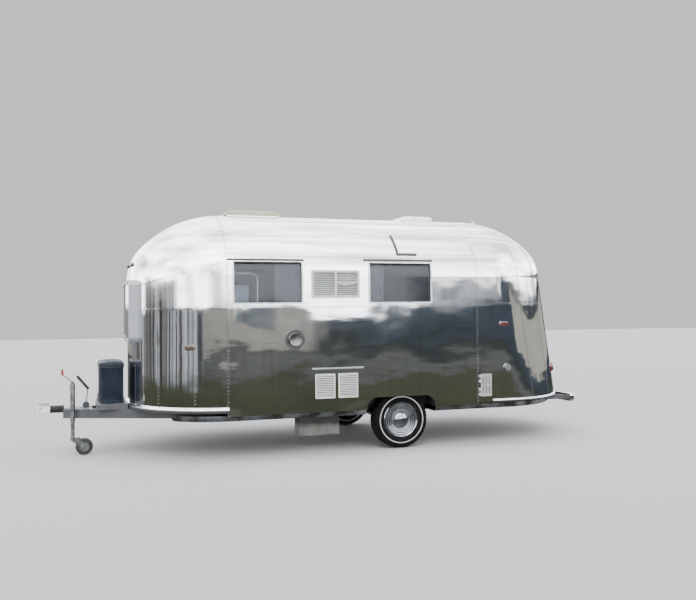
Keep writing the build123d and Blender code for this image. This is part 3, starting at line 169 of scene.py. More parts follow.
def rest(share):
    """What a share leaves of 1."""
    return maths("SUBTRACT", 1.0, share)


def blend(share, first, second):
    """Mix of two colours by a share."""
    values = {0: share, 6: tint(first), 7: tint(second)}
    return add_node(tree_of(share), "ShaderNodeMix", values, data_type="RGBA").outputs[2]


def axes(vector):
    """The X, Y and Z of a vector, as sockets."""
    split = add_node(tree_of(vector), "ShaderNodeSeparateXYZ", {"Vector": vector})
    return [split.outputs[name] for name in "XYZ"]


ground_stops = (
    # degrees above the horizon, colour of what is mirrored there: gravel, lawn, road, hedge, trees
    (-70, (0.46, 0.47, 0.47)),
    (-25, (0.36, 0.37, 0.37)),
    (-11, (0.30, 0.305, 0.30)),
    (-9.0, (0.17, 0.175, 0.16)),
    (-7.6, (0.060, 0.066, 0.044)),
    (-6.2, (0.070, 0.078, 0.050)),
    (-4.7, (0.072, 0.080, 0.056)),
    (-4.4, (0.110, 0.114, 0.112)),
    (-3.5, (0.130, 0.134, 0.136)),
    (-3.1, (0.060, 0.066, 0.062)),
    (-2.3, (0.045, 0.053, 0.052)),
    (-1.7, (0.052, 0.065, 0.082)),
    (1.0, (0.062, 0.078, 0.100)),
)
lowest_angle = ground_stops[0][0]
angle_range = ground_stops[-1][0] - lowest_angle
world = bpy.data.worlds.new("overcast")
world.use_nodes = True
scene.world = world
sky = world.node_tree
direction = add_node(sky, "ShaderNodeTexCoord").outputs["Generated"]
ahead, _, upwards = axes(direction)
degrees_up = maths("MULTIPLY", maths("ARCSINE", upwards), 180 / pi)
gentle = maths("MULTIPLY_ADD", noise(direction, 6.0, 3.0, (1, 1, 0.2)), 0.8, -0.4)
ground_angle = maths("ADD", degrees_up, gentle)
ragged = maths("MULTIPLY_ADD", noise(direction, 16.0, 5.0, (1, 1, 0.3)), 2.0, -1.0)
tree_angle = maths("ADD", degrees_up, ragged)
ground_ramp = [((degrees - lowest_angle) / angle_range, colour) for degrees, colour in ground_stops]
scenery = ramp(span(ground_angle, lowest_angle, lowest_angle + angle_range), ground_ramp)
beige_share = product(between(ahead, -0.50, 0.275, 0.02), between(ground_angle, -2.8, 0.4, 0.25))
scenery = blend(beige_share, scenery, (0.33, 0.325, 0.30))
blot_share = product(between(ahead, 0.175, 0.225, 0.02), between(tree_angle, -1.3, 0.2, 0.5))
scenery = blend(blot_share, scenery, (0.12, 0.14, 0.16))
uprights = noise(direction, 8.0, 4.0, (1, 1, 0.02))
trunks = ramp(uprights, ((0.36, 0.05), (0.44, (0.11, 0.10, 0.09)), (0.50, (0.24, 0.25, 0.26)),
                         (0.56, (0.62, 0.66, 0.70)), (0.60, 0.09)))
trunk_share = product(span(ahead, -0.50, -0.60), span(ground_angle, -5.4, -4.2))
scenery = blend(trunk_share, scenery, trunks)
skyline = maths("MULTIPLY_ADD", between(ahead, 0.285, 0.345, 0.03), -0.9, 0.4)
skyline = maths("ADD", skyline, span(ahead, 0.50, 0.62, 0.0, 3.6))
above_line = maths("SUBTRACT", tree_angle, skyline)
sky_share = span(above_line, -0.25, 0.25)
crowns = span(noise(direction, 46.0, 4.0, (1, 1, 2.2)), 0.42, 0.46)
crowns = maths("MAXIMUM", crowns, span(tree_angle, 2.8, 1.6))
near_trees = product(span(ahead, 0.385, 0.405), span(degrees_up, 6.0, 4.2), crowns)
far_trees = product(span(ahead, -0.86, -0.93), span(degrees_up, 3.0, 1.8), crowns)
tree_share = maths("MULTIPLY", maths("MAXIMUM", near_trees, far_trees), 0.96)
sky_share = product(sky_share, rest(tree_share))
cream_side = span(ahead, 0.735, 0.755)
cream_share = product(cream_side, between(ground_angle, -0.7, 3.4, 0.15))
eaves_share = product(cream_side, between(ground_angle, 3.5, 4.6, 0.15))
scenery = blend(cream_share, scenery, (0.46, 0.445, 0.39))
scenery = blend(eaves_share, scenery, (0.06, 0.07, 0.08))
built_share = maths("MAXIMUM", cream_share, eaves_share)
sky_share = product(sky_share, rest(built_share))
rays = add_node(sky, "ShaderNodeLightPath").outputs
cloud = span(noise(direction, 2.4, 3.0), 0.36, 0.60, 0.30, 1.15)
sky_fill = 1.65
sky_gleam = 4.8
sky_strength = product(cloud, maths("MULTIPLY_ADD", rays["Is Glossy Ray"], sky_gleam, sky_fill))
ground_light = add_node(sky, "ShaderNodeBackground", {"Color": scenery, "Strength": 1.15})
sky_light = add_node(sky, "ShaderNodeBackground", {"Color": (0.95, 0.97, 1.0, 1), "Strength": sky_strength})
mirrored = add_node(sky, "ShaderNodeMixShader",
                    {"Fac": sky_share, 1: ground_light.outputs[0], 2: sky_light.outputs[0]})
studio = add_node(sky, "ShaderNodeBackground", {"Color": (0.80, 0.81, 0.82, 1), "Strength": 1.0})
chosen = add_node(sky, "ShaderNodeMixShader",
                  {"Fac": rays["Is Camera Ray"], 1: mirrored.outputs[0], 2: studio.outputs[0]})
set_input(sky.nodes["World Output"], "Surface", chosen.outputs[0])

sun_data = bpy.data.lights.new("soft_sun", "SUN")
sun_data.energy = 0.9
sun_data.angle = radians(40)
sun = new_object("soft_sun", sun_data)
sun.rotation_euler = (radians(38), radians(-14), 0)


def shader_of(material):
    """The one shader of a material."""
    return material.node_tree.nodes["Principled BSDF"]


def place_of(material):
    """The object coordinates of a material, as a socket."""
    return material.node_tree.nodes["Texture Coordinate"].outputs["Object"]


def plug(material, name, value):
    """Sets an input of a material's shader to a value, or links it from a socket."""
    set_input(shader_of(material), name, value)


def start_material(name, metallic=0.0, roughness=0.5, colour=0.5):
    """Material with one shader and its object coordinates."""
    material = bpy.data.materials.new(name)
    material.use_nodes = True
    add_node(material.node_tree, "ShaderNodeTexCoord")
    plug(material, "Metallic", metallic)
    plug(material, "Roughness", roughness)
    plug(material, "Base Color", tint(colour))
    return material


def bump(material, height, distance):
    """Bump of a height on a material, after any bump it already has."""
    socket = shader_of(material).inputs["Normal"]
    values = {"Height": height, "Distance": distance}
    if socket.is_linked:
        values["Normal"] = socket.links[0].from_socket
    plug(material, "Normal", result(tree_of(height), "ShaderNodeBump", values))


def patches(material, scale, detail, start, stop, most=1.0, stretch=(1, 1, 1)):
    """Share of 0 to most over a material, as a noise runs from start to stop."""
    return span(noise(place_of(material), scale, detail, stretch), start, stop, 0.0, most)


def finish(name, tones, scale, roughness, metallic=0.0, relief=0.0004, stretch=(1, 1, 1)):
    """Material of three tones mixed by noise, with smoother and rougher patches and a relief."""
    material = start_material(name, metallic)
    pattern = noise(place_of(material), scale, 4.0, stretch)
    plug(material, "Base Color", ramp(pattern, tuple(zip((0.34, 0.50, 0.66), tones))))
    plug(material, "Roughness", span(pattern, 0.3, 0.7, *roughness))
    bump(material, noise(place_of(material), scale * 8, 3.0), relief)
    return material


def soil(material, share, tone, dullness=0.8):
    """Lays a tone over a material's colour by a share, and dulls it there."""
    colour, gloss = [shader_of(material).inputs[name].links[0].from_socket
                     for name in ("Base Color", "Roughness")]
    plug(material, "Base Color", blend(share, colour, tone))
    plug(material, "Roughness", result(tree_of(share), "ShaderNodeMix", {0: share, 2: gloss, 3: dullness}))


studio_floor = finish("studio_floor", (0.64, 0.67, 0.70), 30.0, (0.80, 0.90))
floor_half = 40
floor_mesh = bpy.data.meshes.new("studio_floor")
floor_corners = [(x * floor_half, y * floor_half, 0) for x, y in ((-1, -1), (1, -1), (1, 1), (-1, 1))]
floor_mesh.from_pydata(floor_corners, [], [(0, 1, 2, 3)])
floor = new_object("studio_floor", floor_mesh)
floor.data.materials.append(studio_floor)
floor.visible_glossy = False


def paint(material, *names):
    """Gives CAD nodes a material, in place of every slot they came with."""
    for name in names:
        node = nodes[name]
        if not node.material_slots:
            node.data.materials.append(material)
        for slot in node.material_slots:
            slot.material = material


# Chassis and axle
# Welded steel rails and drawbar under old grey paint, with rust breaking through along the edges.
# The torsion axle, the gas tray and the step's runners are bolted and welded to them.

grey_tones = ((0.048, 0.053, 0.060), (0.066, 0.071, 0.079), (0.090, 0.095, 0.104))
chassis_paint = finish("chassis_paint", grey_tones, 5.0, (0.45, 0.65), 0.0, 0.0006)
rust = patches(chassis_paint, 11.0, 6.0, 0.64, 0.70)
soil(chassis_paint, rust, (0.15, 0.065, 0.03), 0.9)
soil(chassis_paint, patches(chassis_paint, 3.0, 3.0, 0.45, 0.75, 0.6), (0.12, 0.11, 0.10))
bump(chassis_paint, rust, 0.0008)
paint(chassis_paint, "chassis_frame", "torsion_axle", "step_runners")

tray_tones = ((0.050, 0.055, 0.060), (0.070, 0.075, 0.080), (0.10, 0.105, 0.11))
tray_paint = finish("tray_paint", tray_tones, 6.0, (0.45, 0.65), 0.0, 0.0005)
soil(tray_paint, patches(tray_paint, 12.0, 5.0, 0.64, 0.74), (0.12, 0.070, 0.045), 0.9)
paint(tray_paint, "gas_tray")

# Coupling, bellows and hand brake
# A pressed, zinc-plated head on a shaft in a folded rubber bellows. The brake's thin rod carries
# a black grip, and the rest of the lever is plated.

zinc_tones = ((0.11, 0.12, 0.11), (0.17, 0.18, 0.17), (0.27, 0.28, 0.27))
zinc = finish("zinc_plate", zinc_tones, 22.0, (0.28, 0.48), 0.9, 0.0002)
soil(zinc, patches(zinc, 14.0, 4.0, 0.58, 0.70, 0.7), (0.20, 0.15, 0.11))
paint(zinc, "jockey_inner_tube", "jockey_outer_tube", "jockey_fork")

head_tones = ((0.36, 0.38, 0.38), (0.46, 0.48, 0.48), (0.58, 0.60, 0.60))
head_steel = finish("coupling_steel", head_tones, 16.0, (0.28, 0.48), 0.8, 0.0003)
soil(head_steel, patches(head_steel, 18.0, 4.0, 0.58, 0.70, 0.7), (0.22, 0.16, 0.11))
paint(head_steel, "coupling_head")

rubber_tones = ((0.012, 0.012, 0.013), (0.020, 0.020, 0.021), (0.035, 0.034, 0.033))
black_rubber = finish("black_rubber", rubber_tones, 16.0, (0.55, 0.75), 0.0, 0.0003)
paint(black_rubber, "coupling_bellows", "jockey_tyre")


def gripped(name, tones, grip_tone, grip_foot):
    """Plated metal up to grip_foot, and a moulded grip of another tone above it."""
    material = finish(name, tones, 22.0, (0.28, 0.45), 0.0, 0.0002)
    height = axes(place_of(material))[2]
    grip = span(height, grip_foot - 0.001, grip_foot + 0.001)
    soil(material, grip, grip_tone, 0.5)
    plug(material, "Metallic", rest(grip))
    return material


brake_grip_foot = 0.715
paint(gripped("brake_lever_finish", zinc_tones, (0.014, 0.014, 0.015), brake_grip_foot), "brake_lever")
crank_grip_length = 0.074
crank_grip_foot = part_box("jockey_crank")[1].z - crank_grip_length
paint(gripped("crank_finish", zinc_tones, (0.34, 0.03, 0.04), crank_grip_foot), "jockey_crank")

hub_tones = ((0.12, 0.12, 0.125), (0.18, 0.18, 0.185), 0.26)
hub_plastic = finish("hub_plastic", hub_tones, 18.0, (0.40, 0.60))
paint(hub_plastic, "jockey_hub")

# Underside, floor and wheel boxes
# A dull aluminium pan closes the body from below, splashed with dirt, its tones set dark as painted
# shade under the body. The floor is lacquered board, the wheel boxes are black plastic, and a painted
# locker hangs below, dimmed and darkened above a ragged line low on it as painted shade of the body.

# The pan's dark tones are painted shade under the body; the dirt patches laid on them are real.
shaded_pan_tones = ((0.10, 0.11, 0.12), (0.16, 0.17, 0.18), (0.24, 0.25, 0.26))
pan_sheet = finish("pan_sheet", shaded_pan_tones, 2.5, (0.45, 0.70), 0.7, 0.0010)
soil(pan_sheet, patches(pan_sheet, 7.0, 5.0, 0.42, 0.62), (0.055, 0.050, 0.042), 0.9)
paint(pan_sheet, "belly_pan")

board_tones = ((0.20, 0.13, 0.07), (0.30, 0.20, 0.11), (0.38, 0.26, 0.15))
floor_board = finish("floor_board", board_tones, 9.0, (0.35, 0.55), 0.0, 0.0003, (0.08, 1, 1))
paint(floor_board, "floor_deck")

black_tones = ((0.014, 0.014, 0.015), (0.022, 0.022, 0.023), (0.045, 0.042, 0.038))
housing_plastic = finish("housing_plastic", black_tones, 6.0, (0.60, 0.85), 0.0, 0.0008)
paint(housing_plastic, "wheel_housings")

# The locker's lowered tones are painted shade. The near black laid over it above a ragged line near its
# foot is the painted shadow of the body.
shaded_locker_tones = ((0.20, 0.19, 0.175), (0.26, 0.25, 0.23), (0.32, 0.31, 0.29))
locker_paint = finish("locker_paint", shaded_locker_tones, 8.0, (0.50, 0.70))
body_shadow_line = maths("MULTIPLY_ADD", noise(place_of(locker_paint), 9.0, 4.0), 0.10, 0.20)
above_line = maths("SUBTRACT", axes(place_of(locker_paint))[2], body_shadow_line)
soil(locker_paint, span(above_line, -0.01, 0.05, 0.0, 0.88), (0.05, 0.048, 0.045), 0.9)
paint(locker_paint, "underslung_locker")

# Body skin
# Polished sheet aluminium that has gone cloudy towards the roof. It waves between its rivets,
# so the skyline breaks up in it, and streaks run down it. Inside it is lined with brown board.

half_width = -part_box("wall_left")[0].y
corner_radius = 1.040
flat_half = half_width - corner_radius
spring = 1.950
front_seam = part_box("cap_front_upper")[1].x
rear_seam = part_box("cap_rear_upper")[0].x
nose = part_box("cap_front_lower")[0].x
foot_low, foot_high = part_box("cap_rear_lower")
body_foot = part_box("wall_left")[0].z
roof_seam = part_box("wall_left")[1].z
roof_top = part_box("roof")[1].z
rise = roof_top - spring
tail_lean_run = 0.222
tail_lean = tail_lean_run / (spring - body_foot)
sill_seam = 1.605
rear_sill_seam = 1.640
tail = foot_high.x - tail_lean * (spring - foot_low.z)
front_centre = nose + corner_radius
rear_centre = tail - corner_radius
lining_depth = 0.022


def hypotenuse(first, second):
    """Length of what goes first one way and second across it."""
    return maths("SQRT", maths("ADD", *[maths("POWER", leg, 2.0) for leg in (first, second)]))


def lining_share(place):
    """1 on the inner half of the body's walls and roof, and 0 on their outer skin."""
    x, y, z = axes(place)
    beyond = maths("MAXIMUM", maths("SUBTRACT", front_centre, x), maths("SUBTRACT", x, rear_centre))
    along = maths("MAXIMUM", beyond, 0.0)
    across = maths("MAXIMUM", maths("SUBTRACT", maths("ABSOLUTE", y), flat_half), 0.0)
    lift = maths("MAXIMUM", maths("SUBTRACT", z, spring), 0.0)
    reach_share = maths("DIVIDE", hypotenuse(along, across), corner_radius - lining_depth)
    lift_share = maths("DIVIDE", lift, rise - lining_depth)
    return span(maths("POWER", hypotenuse(reach_share, lift_share), 2.0), 1.0, 0.998)


def polished_skin():
    """Polished sheet, mirror-like low down and cloudier towards the roof."""
    material = start_material("polished_skin")
    place = place_of(material)
    height = axes(place)[2]
    clouding = noise(place, 1.6, 5.0, (1, 1, 0.5))
    streaks = noise(place, 14.0, 4.0, (1, 1, 0.10))
    upper = span(height, sill_seam - 0.002, sill_seam + 0.006)
    tone = ramp(clouding, ((0.30, (0.74, 0.75, 0.77)), (0.52, (0.84, 0.85, 0.86)),
                           (0.72, (0.91, 0.91, 0.90))))
    pale = blend(maths("MULTIPLY", upper, 0.4), tone, 0.96)
    stain = ramp(streaks, ((0.30, (0.82, 0.81, 0.78)), (0.52, 1.0)))
    wiped = patches(material, 3.2, 4.0, 0.44, 0.60, 1.0, (0.20, 1, 3.2))
    dull = product(wiped, span(height, 1.95, 2.20, 0.10, 0.85))
    pale = blend(dull, pale, (0.46, 0.47, 0.49))
    colour = add_node(material.node_tree, "ShaderNodeMix", {0: 0.3, 6: pale, 7: stain},
                      data_type="RGBA", blend_type="MULTIPLY")
    plug(material, "Base Color", colour.outputs[2])
    cloudy = product(upper, maths("ADD", clouding, span(height, 1.93, 2.25, -0.38, 0.40)))
    gloss = maths("MULTIPLY_ADD", cloudy, 0.22, 0.035)
    plug(material, "Roughness", maths("MULTIPLY_ADD", streaks, 0.02, gloss))
    lining = lining_share(place)
    soil(material, lining, (0.24, 0.20, 0.16), 0.7)
    plug(material, "Metallic", rest(lining))
    bump(material, noise(place, 1.6, 1.0, (1, 1, 1.4)), 0.0050)
    bump(material, noise(place, 4.5, 1.0, (0.7, 0.7, 1.2)), 0.0009)
    worn = patches(material, 1.1, 1.0, 0.50, 0.62)
    bump(material, product(worn, noise(place, 13.0, 2.0, (0.5, 0.5, 1.4))), 0.00016)
    bump(material, noise(place, 60.0, 3.0), 0.00002)
    return material


skin = polished_skin()
paint(skin, "cap_front_lower", "cap_front_upper", "cap_rear_lower", "cap_rear_upper", "wall_left",
      "wall_right", "roof", "door_panel", "rear_bumper")

# The skin's form, so that seams and rivets follow it: a section of reach and height, carried along
# the straight sides and round both ends. The rear end leans, wider at its foot.

shoulder_angle = radians(44)
arc_share = cos(shoulder_angle) + sin(shoulder_angle) - 1
crown_radius = (corner_radius * sin(shoulder_angle) - rise * (1 - cos(shoulder_angle))) / arc_share
shoulder_radius = (rise * cos(shoulder_angle) - corner_radius * (1 - sin(shoulder_angle))) / arc_share


def section_at(turn):
    """Reach, height and outward direction of the roof's section, turned up from the spring line."""
    if turn <= shoulder_angle:
        reach = corner_radius - shoulder_radius * (1 - cos(turn))
        return reach, spring + shoulder_radius * sin(turn), turn
    return crown_radius * cos(turn), roof_top - crown_radius * (1 - sin(turn)), turn


def level_section(z):
    """The section at height z: on the upright wall, or on the roof's arcs above it."""
    if z <= spring:
        return corner_radius, z, 0.0
    shoulder_top = spring + shoulder_radius * sin(shoulder_angle)
    if z <= shoulder_top:
        return section_at(atan2(z - spring, sqrt(shoulder_radius ** 2 - (z - spring) ** 2)))
    lift = (z - roof_top + crown_radius) / crown_radius
    return section_at(atan2(lift, sqrt(max(0.0, 1 - lift ** 2))))


def skin_point(section, side, x=None, bearing=0.0, end=0):
    """Point and normal of the skin: on a straight side at x, or on an end at a bearing from it."""
    reach, z, turn = section
    if end == 0 and x < front_centre:
        end = -1
        bearing = asin(min(1.0, (front_centre - x) / reach))
    if end == 0:
        return Vector((x, side * (flat_half + reach), z)), Vector((0, side * cos(turn), sin(turn)))
    lean = tail_lean * max(0.0, spring - z) if end > 0 else 0.0
    centre = (rear_centre if end > 0 else front_centre) + end * lean
    outward = Vector((end * sin(bearing), side * cos(bearing), 0))
    point = Vector((centre, side * flat_half, z)) + outward * reach
    normal = outward * cos(turn) + Vector((0, 0, sin(turn)))
    if end > 0 and z < spring:
        normal = Vector((outward.x, outward.y, outward.x * tail_lean))
    return point, normal.normalized()


def upright_line(side, z0, z1, x=None, bearing=0.0, end=0):
    """Line up the skin from z0 to z1 at one station; z1 of None goes on to the roof's top."""
    line = []
    steps = max(2, ceil((min(z1 or spring, spring) - z0) / 0.12))
    for step in range(steps + 1):
        z = z0 + (min(z1 or spring, spring) - z0) * step / steps
        line.append(skin_point((corner_radius, z, 0.0), side, x, bearing, end))
    if z1 is None or z1 > spring:
        last_turn = pi / 2 if z1 is None else level_section(z1)[2]
        if x is not None and x < front_centre:
            last_turn = min(last_turn, acos((front_centre - x) / crown_radius))
        steps = 16
        for step in range(1, steps + 1):
            line.append(skin_point(section_at(last_turn * step / steps), side, x, bearing, end))
        if z1 is None and x is not None and side < 0:
            line.append(skin_point(section_at(last_turn), -side, x))
    return line


def level_line(side, z, x0, x1):
    """Straight line along one side at height z."""
    section = level_section(z)
    steps = max(1, ceil(abs(x1 - x0) / 0.25))
    return [skin_point(section, side, x0 + (x1 - x0) * step / steps) for step in range(steps + 1)]


def end_line(z, end, bearing0=0.0, slope=0.0):
    """Line round an end at height z, from one side's bearing to the other's, across the middle."""
    line = []
    steps = 24
    start = front_seam if end < 0 else rear_seam
    first = asin((front_centre - start) / level_section(z)[0]) if end < 0 else bearing0
    for side, order in ((-1, 1), (1, -1)):
        half = []
        if end > 0 and bearing0 == 0.0:
            half.append(skin_point(level_section(z), side, start))
        for step in range(steps + 1):
            bearing = first + (pi / 2 - first) * step / steps
            drop = slope * sin(bearing)
            half.append(skin_point(level_section(z - drop), side, None, bearing, end))
        line.extend(half[::order])
    return line


seams = []
cap_drop = 0.300
roof_seam_turns = (radians(28), radians(50), radians(68))
front_gores = (radians(24), radians(48), radians(72))
rear_gores = (radians(18), radians(38), radians(58))
front_gore_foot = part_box("cap_front_lower")[0].z + 0.06
rear_gore_foot = foot_low.z + 0.04
door_low, door_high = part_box("door_panel")
waist_seam, waist_seam_end = 1.210, -0.72
belt_pieces = (
    # side, height, from x, to x
    (-1, sill_seam, front_seam, rear_seam),
    (1, sill_seam, front_seam, door_low.x - 0.02),
    (1, sill_seam, door_high.x + 0.03, rear_seam),
    (-1, waist_seam, front_seam, waist_seam_end),
)
for side in (-1, 1):
    for station in (front_seam, rear_seam):
        seams.append(upright_line(side, body_foot, None, station))
    seams.append(level_line(side, roof_seam, front_seam, rear_seam))
    for turn in roof_seam_turns:
        seams.append(level_line(side, section_at(turn)[1], front_seam, rear_seam))
for piece in belt_pieces:
    seams.append(level_line(*piece))
for side in (-1, 1):
    for bearing in front_gores:
        seams.append(upright_line(side, front_gore_foot, sill_seam, None, bearing, -1))
    for bearing in rear_gores:
        seams.append(upright_line(side, rear_gore_foot, None, None, bearing, 1))
for end, belt in ((-1, sill_seam), (1, rear_sill_seam)):
    seams.append(end_line(belt, end))
    seams.append(end_line(roof_seam, end, 0.0, cap_drop))


def link_piece(name, vertices, faces, material, smooth=False):
    """Object of a mesh from points and faces, with its faces turned outwards, in the scene."""
    mesh = bpy.data.meshes.new(name)
    mesh.from_pydata(vertices, [], faces)
    mesh.materials.append(material)
    shape = bmesh.new()
    shape.from_mesh(mesh)
    bmesh.ops.recalc_face_normals(shape, faces=shape.faces)
    shape.to_mesh(mesh)
    shape.free()
    mesh.polygons.foreach_set("use_smooth", [smooth] * len(mesh.polygons))
    return new_object(name, mesh)


def quads(rows, columns, around=True, closed=False):
    """Faces between rows of points, where each row goes around and the rows may close too."""
    faces = []
    for row in range(rows if closed else rows - 1):
        low = row * columns
        high = (row + 1) % rows * columns
        for index in range(columns if around else columns - 1):
            following = (index + 1) % columns
            faces.append((low + index, low + following, high + following, high + index))
    return faces


def end_faces(rows, columns):
    """The faces that close the first and the last of some rows of points."""
    last = (rows - 1) * columns
    return [tuple(reversed(range(columns))), tuple(range(last, last + columns))]


def band(name, lines, width, height, material, lift=0.0, shift=0.0):
    """Raised strip of the given width and height along lines of points and normals."""
    vertices = []
    faces = []
    for line in lines:
        start = len(vertices)
        for index, (point, normal) in enumerate(line):
            before = line[max(index - 1, 0)][0]
            after = line[min(index + 1, len(line) - 1)][0]
            across = normal.cross((after - before).normalized()).normalized()
            for reach, out in ((-0.5, 0), (-0.5, 1), (0.5, 1), (0.5, 0)):
                offset = across * (reach * width + shift) + normal * (lift + out * height)
                vertices.append(point + offset)
        for face in quads(len(line), 4) + end_faces(len(line), 4):
            faces.append(tuple(start + index for index in face))
    return link_piece(name, vertices, faces, material)


lap_width = 0.024
lap_height = 0.0012
lap_lift = 0.0003
laps = band("seam_laps", seams, lap_width, lap_height, skin, lap_lift)
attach(laps, "caravan")

# A dark strip at one edge of each lap: partly dirt and sealer in the joint, partly painted shade cast by
# the lap's edge.
sealer_and_shade_tones = (0.04, 0.07, (0.15, 0.15, 0.14))
sealer_and_shade = finish("seam_sealer_and_shade", sealer_and_shade_tones, 6.0, (0.60, 0.80))
sealer_width = 0.005
sealer_height = 0.0008
sealer_shift = lap_width / 2 + 0.0015
sealed_and_shaded = band("seam_sealer_and_shade", seams, sealer_width, sealer_height, sealer_and_shade, lap_lift, sealer_shift)
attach(sealed_and_shaded, "caravan")


def lines_object(name, lines):
    """Loose edges along lines, each point with the skin's normal as an attribute."""
    points = []
    edges = []
    normals = []
    for line in lines:
        start = len(points)
        for point, normal in line:
            points.append(point)
            normals.extend(normal)
        edges.extend((start + index, start + index + 1) for index in range(len(line) - 1))
    mesh = bpy.data.meshes.new(name)
    mesh.from_pydata(points, edges, [])
    mesh.attributes.new("skin_normal", "FLOAT_VECTOR", "POINT").data.foreach_set("vector", normals)
    return new_object(name, mesh)


def frozen(holder, name):
    """Mesh object of what a holder's modifiers or bevel make, in the scene in its place."""
    depsgraph = bpy.context.evaluated_depsgraph_get()
    mesh = bpy.data.meshes.new_from_object(holder.evaluated_get(depsgraph))
    mesh.name = name
    bpy.data.objects.remove(holder)
    return new_object(name, mesh)


def domed_heads(name, lines, sizes, material):
    """Domed heads at a pitch along lines, standing out of the skin, baked to one mesh."""
    tree = bpy.data.node_groups.new(name, "GeometryNodeTree")
    tree.interface.new_socket("Geometry", in_out="INPUT", socket_type="NodeSocketGeometry")
    for size in sizes:
        tree.interface.new_socket(size, in_out="INPUT", socket_type="NodeSocketFloat")
    tree.interface.new_socket("Geometry", in_out="OUTPUT", socket_type="NodeSocketGeometry")
    source = tree.nodes.new("NodeGroupInput").outputs
    curve = result(tree, "GeometryNodeMeshToCurve", {"Mesh": source["Geometry"]})
    spaced = result(tree, "GeometryNodeResampleCurve", {"Curve": curve, "Length": source["Pitch"]},
                    mode="LENGTH")
    ball = result(tree, "GeometryNodeMeshUVSphere", {"Segments": 7, "Rings": 4, "Radius": source["Radius"]})
    flat = result(tree, "ShaderNodeCombineXYZ", {"X": 1.0, "Y": 1.0, "Z": source["Height share"]})
    dome = result(tree, "GeometryNodeTransform", {"Geometry": ball, "Scale": flat})
    normal = result(tree, "GeometryNodeInputNamedAttribute", {"Name": "skin_normal"},
                    data_type="FLOAT_VECTOR")
    facing = result(tree, "FunctionNodeAlignRotationToVector", {"Vector": normal}, axis="Z")
    heads = result(tree, "GeometryNodeInstanceOnPoints",
                   {"Points": spaced, "Instance": dome, "Rotation": facing})
    solid = result(tree, "GeometryNodeRealizeInstances", {"Geometry": heads})
    finished = result(tree, "GeometryNodeSetMaterial", {"Geometry": solid, "Material": material})
    add_node(tree, "NodeGroupOutput", {0: finished})
    holder = lines_object(name + "_lines", lines)
    modifier = holder.modifiers.new("pattern", "NODES")
    modifier.node_group = tree
    for item in tree.interface.items_tree:
        if item.item_type == "SOCKET" and item.name in sizes:
            modifier[item.identifier] = sizes[item.name]
    return frozen(holder, name)


rivet_tones = (0.06, (0.13, 0.13, 0.135), (0.28, 0.28, 0.29))
rivet_metal = finish("rivet_heads", rivet_tones, 25.0, (0.30, 0.50), 0.85, 0.0001)
rivet_sizes = {"Pitch": 0.038, "Radius": 0.0075, "Height share": 0.5}
rivets = domed_heads("skin_rivets", seams, rivet_sizes, rivet_metal)
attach(rivets, "caravan")

# Windows
# Tinted acrylic panes in bright aluminium frames, sealed with black rubber; near the nose the frames
# are darkened as a painted dark reflection. A rain gutter sits over each side window, screwed through
# the skin, coloured dark as painted shade under it. Pleated curtains hang inside on thin wires.

trim_tones = ((0.62, 0.63, 0.64), (0.76, 0.77, 0.78), (0.86, 0.87, 0.87))
bright_trim = finish("bright_trim", trim_tones, 9.0, (0.16, 0.34), 1.0, 0.0002)
soil(bright_trim, patches(bright_trim, 12.0, 5.0, 0.60, 0.75, 0.5), (0.25, 0.24, 0.22))
paint(bright_trim, "door_fittings", "hinge_leaves", "roof_vent_bases", "entry_step")

frame_tones = ((0.70, 0.71, 0.72), (0.84, 0.85, 0.86), 0.92)
frame_metal = finish("window_frame_metal", frame_tones, 10.0, (0.25, 0.42), 0.45, 0.0003)
# Frames near the nose are darkened and dulled: a painted dark reflection of the dark surroundings in their
# sides.
front_frame_dark_reflection = span(axes(place_of(frame_metal))[0], nose + 0.25, nose + 0.15, 0.0, 0.75)
soil(frame_metal, front_frame_dark_reflection, (0.20, 0.21, 0.23), 0.5)
paint(frame_metal, "window_frames")

pane_tint = (0.24, 0.27, 0.315)
pane = start_material("window_pane", 0.0, 0.03, pane_tint)
plug(pane, "Transmission Weight", 0.92)
plug(pane, "IOR", 1.35)
haze = noise(place_of(pane), 5.0, 4.0)
plug(pane, "Roughness", span(haze, 0.35, 0.75, 0.02, 0.12))
dirty_tint = ramp(haze, ((0.35, pane_tint), (0.70, (0.33, 0.365, 0.41))))
plug(pane, "Base Color", dirty_tint)
bump(pane, noise(place_of(pane), 2.5, 2.0), 0.0015)
paint(pane, "window_glass", "door_window_glass")

window_width = 0.772
window_height = 0.464
window_sill = 1.646
frame_width = 0.016
pane_depth = 0.010
side_windows = (
    # side, middle x
    (-1, -0.854),
    (-1, 0.672),
    (1, 0.672),
)


def rounded_loop(width, height, radius, steps, side_steps=1):
    """Points of a rounded rectangle about its middle, as (across, up), once round."""
    corners = ((1, 1, 0), (-1, 1, 90), (-1, -1, 180), (1, -1, 270))
    arcs = []
    for right, up, start in corners:
        turns = [radians(start + 90 * step / steps) for step in range(steps + 1)]
        arcs.append([(right * (width / 2 - radius) + radius * cos(turn),
                      up * (height / 2 - radius) + radius * sin(turn)) for turn in turns])
    points = []
    for arc, following in zip(arcs, arcs[1:] + arcs[:1]):
        (x0, y0), (x1, y1) = arc[-1], following[0]
        shares = [step / side_steps for step in range(1, side_steps)]
        points += arc + [(x0 + (x1 - x0) * share, y0 + (y1 - y0) * share) for share in shares]
    return points


gasket_lines = []
gasket_width = 0.012
gasket_height = 0.003
gasket_corner = 0.012
window_middle = window_sill + window_height / 2
for side, middle in side_windows:
    loop = rounded_loop(window_width - 2 * frame_width, window_height - 2 * frame_width, gasket_corner, 5)
    gasket_lines.append([(Vector((middle + across, side * (half_width - pane_depth), window_middle + up)),
                          Vector((0, side, 0))) for across, up in loop + loop[:2]])
gaskets = band("window_gaskets", gasket_lines, gasket_width, gasket_height, black_rubber)
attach(gaskets, "caravan")

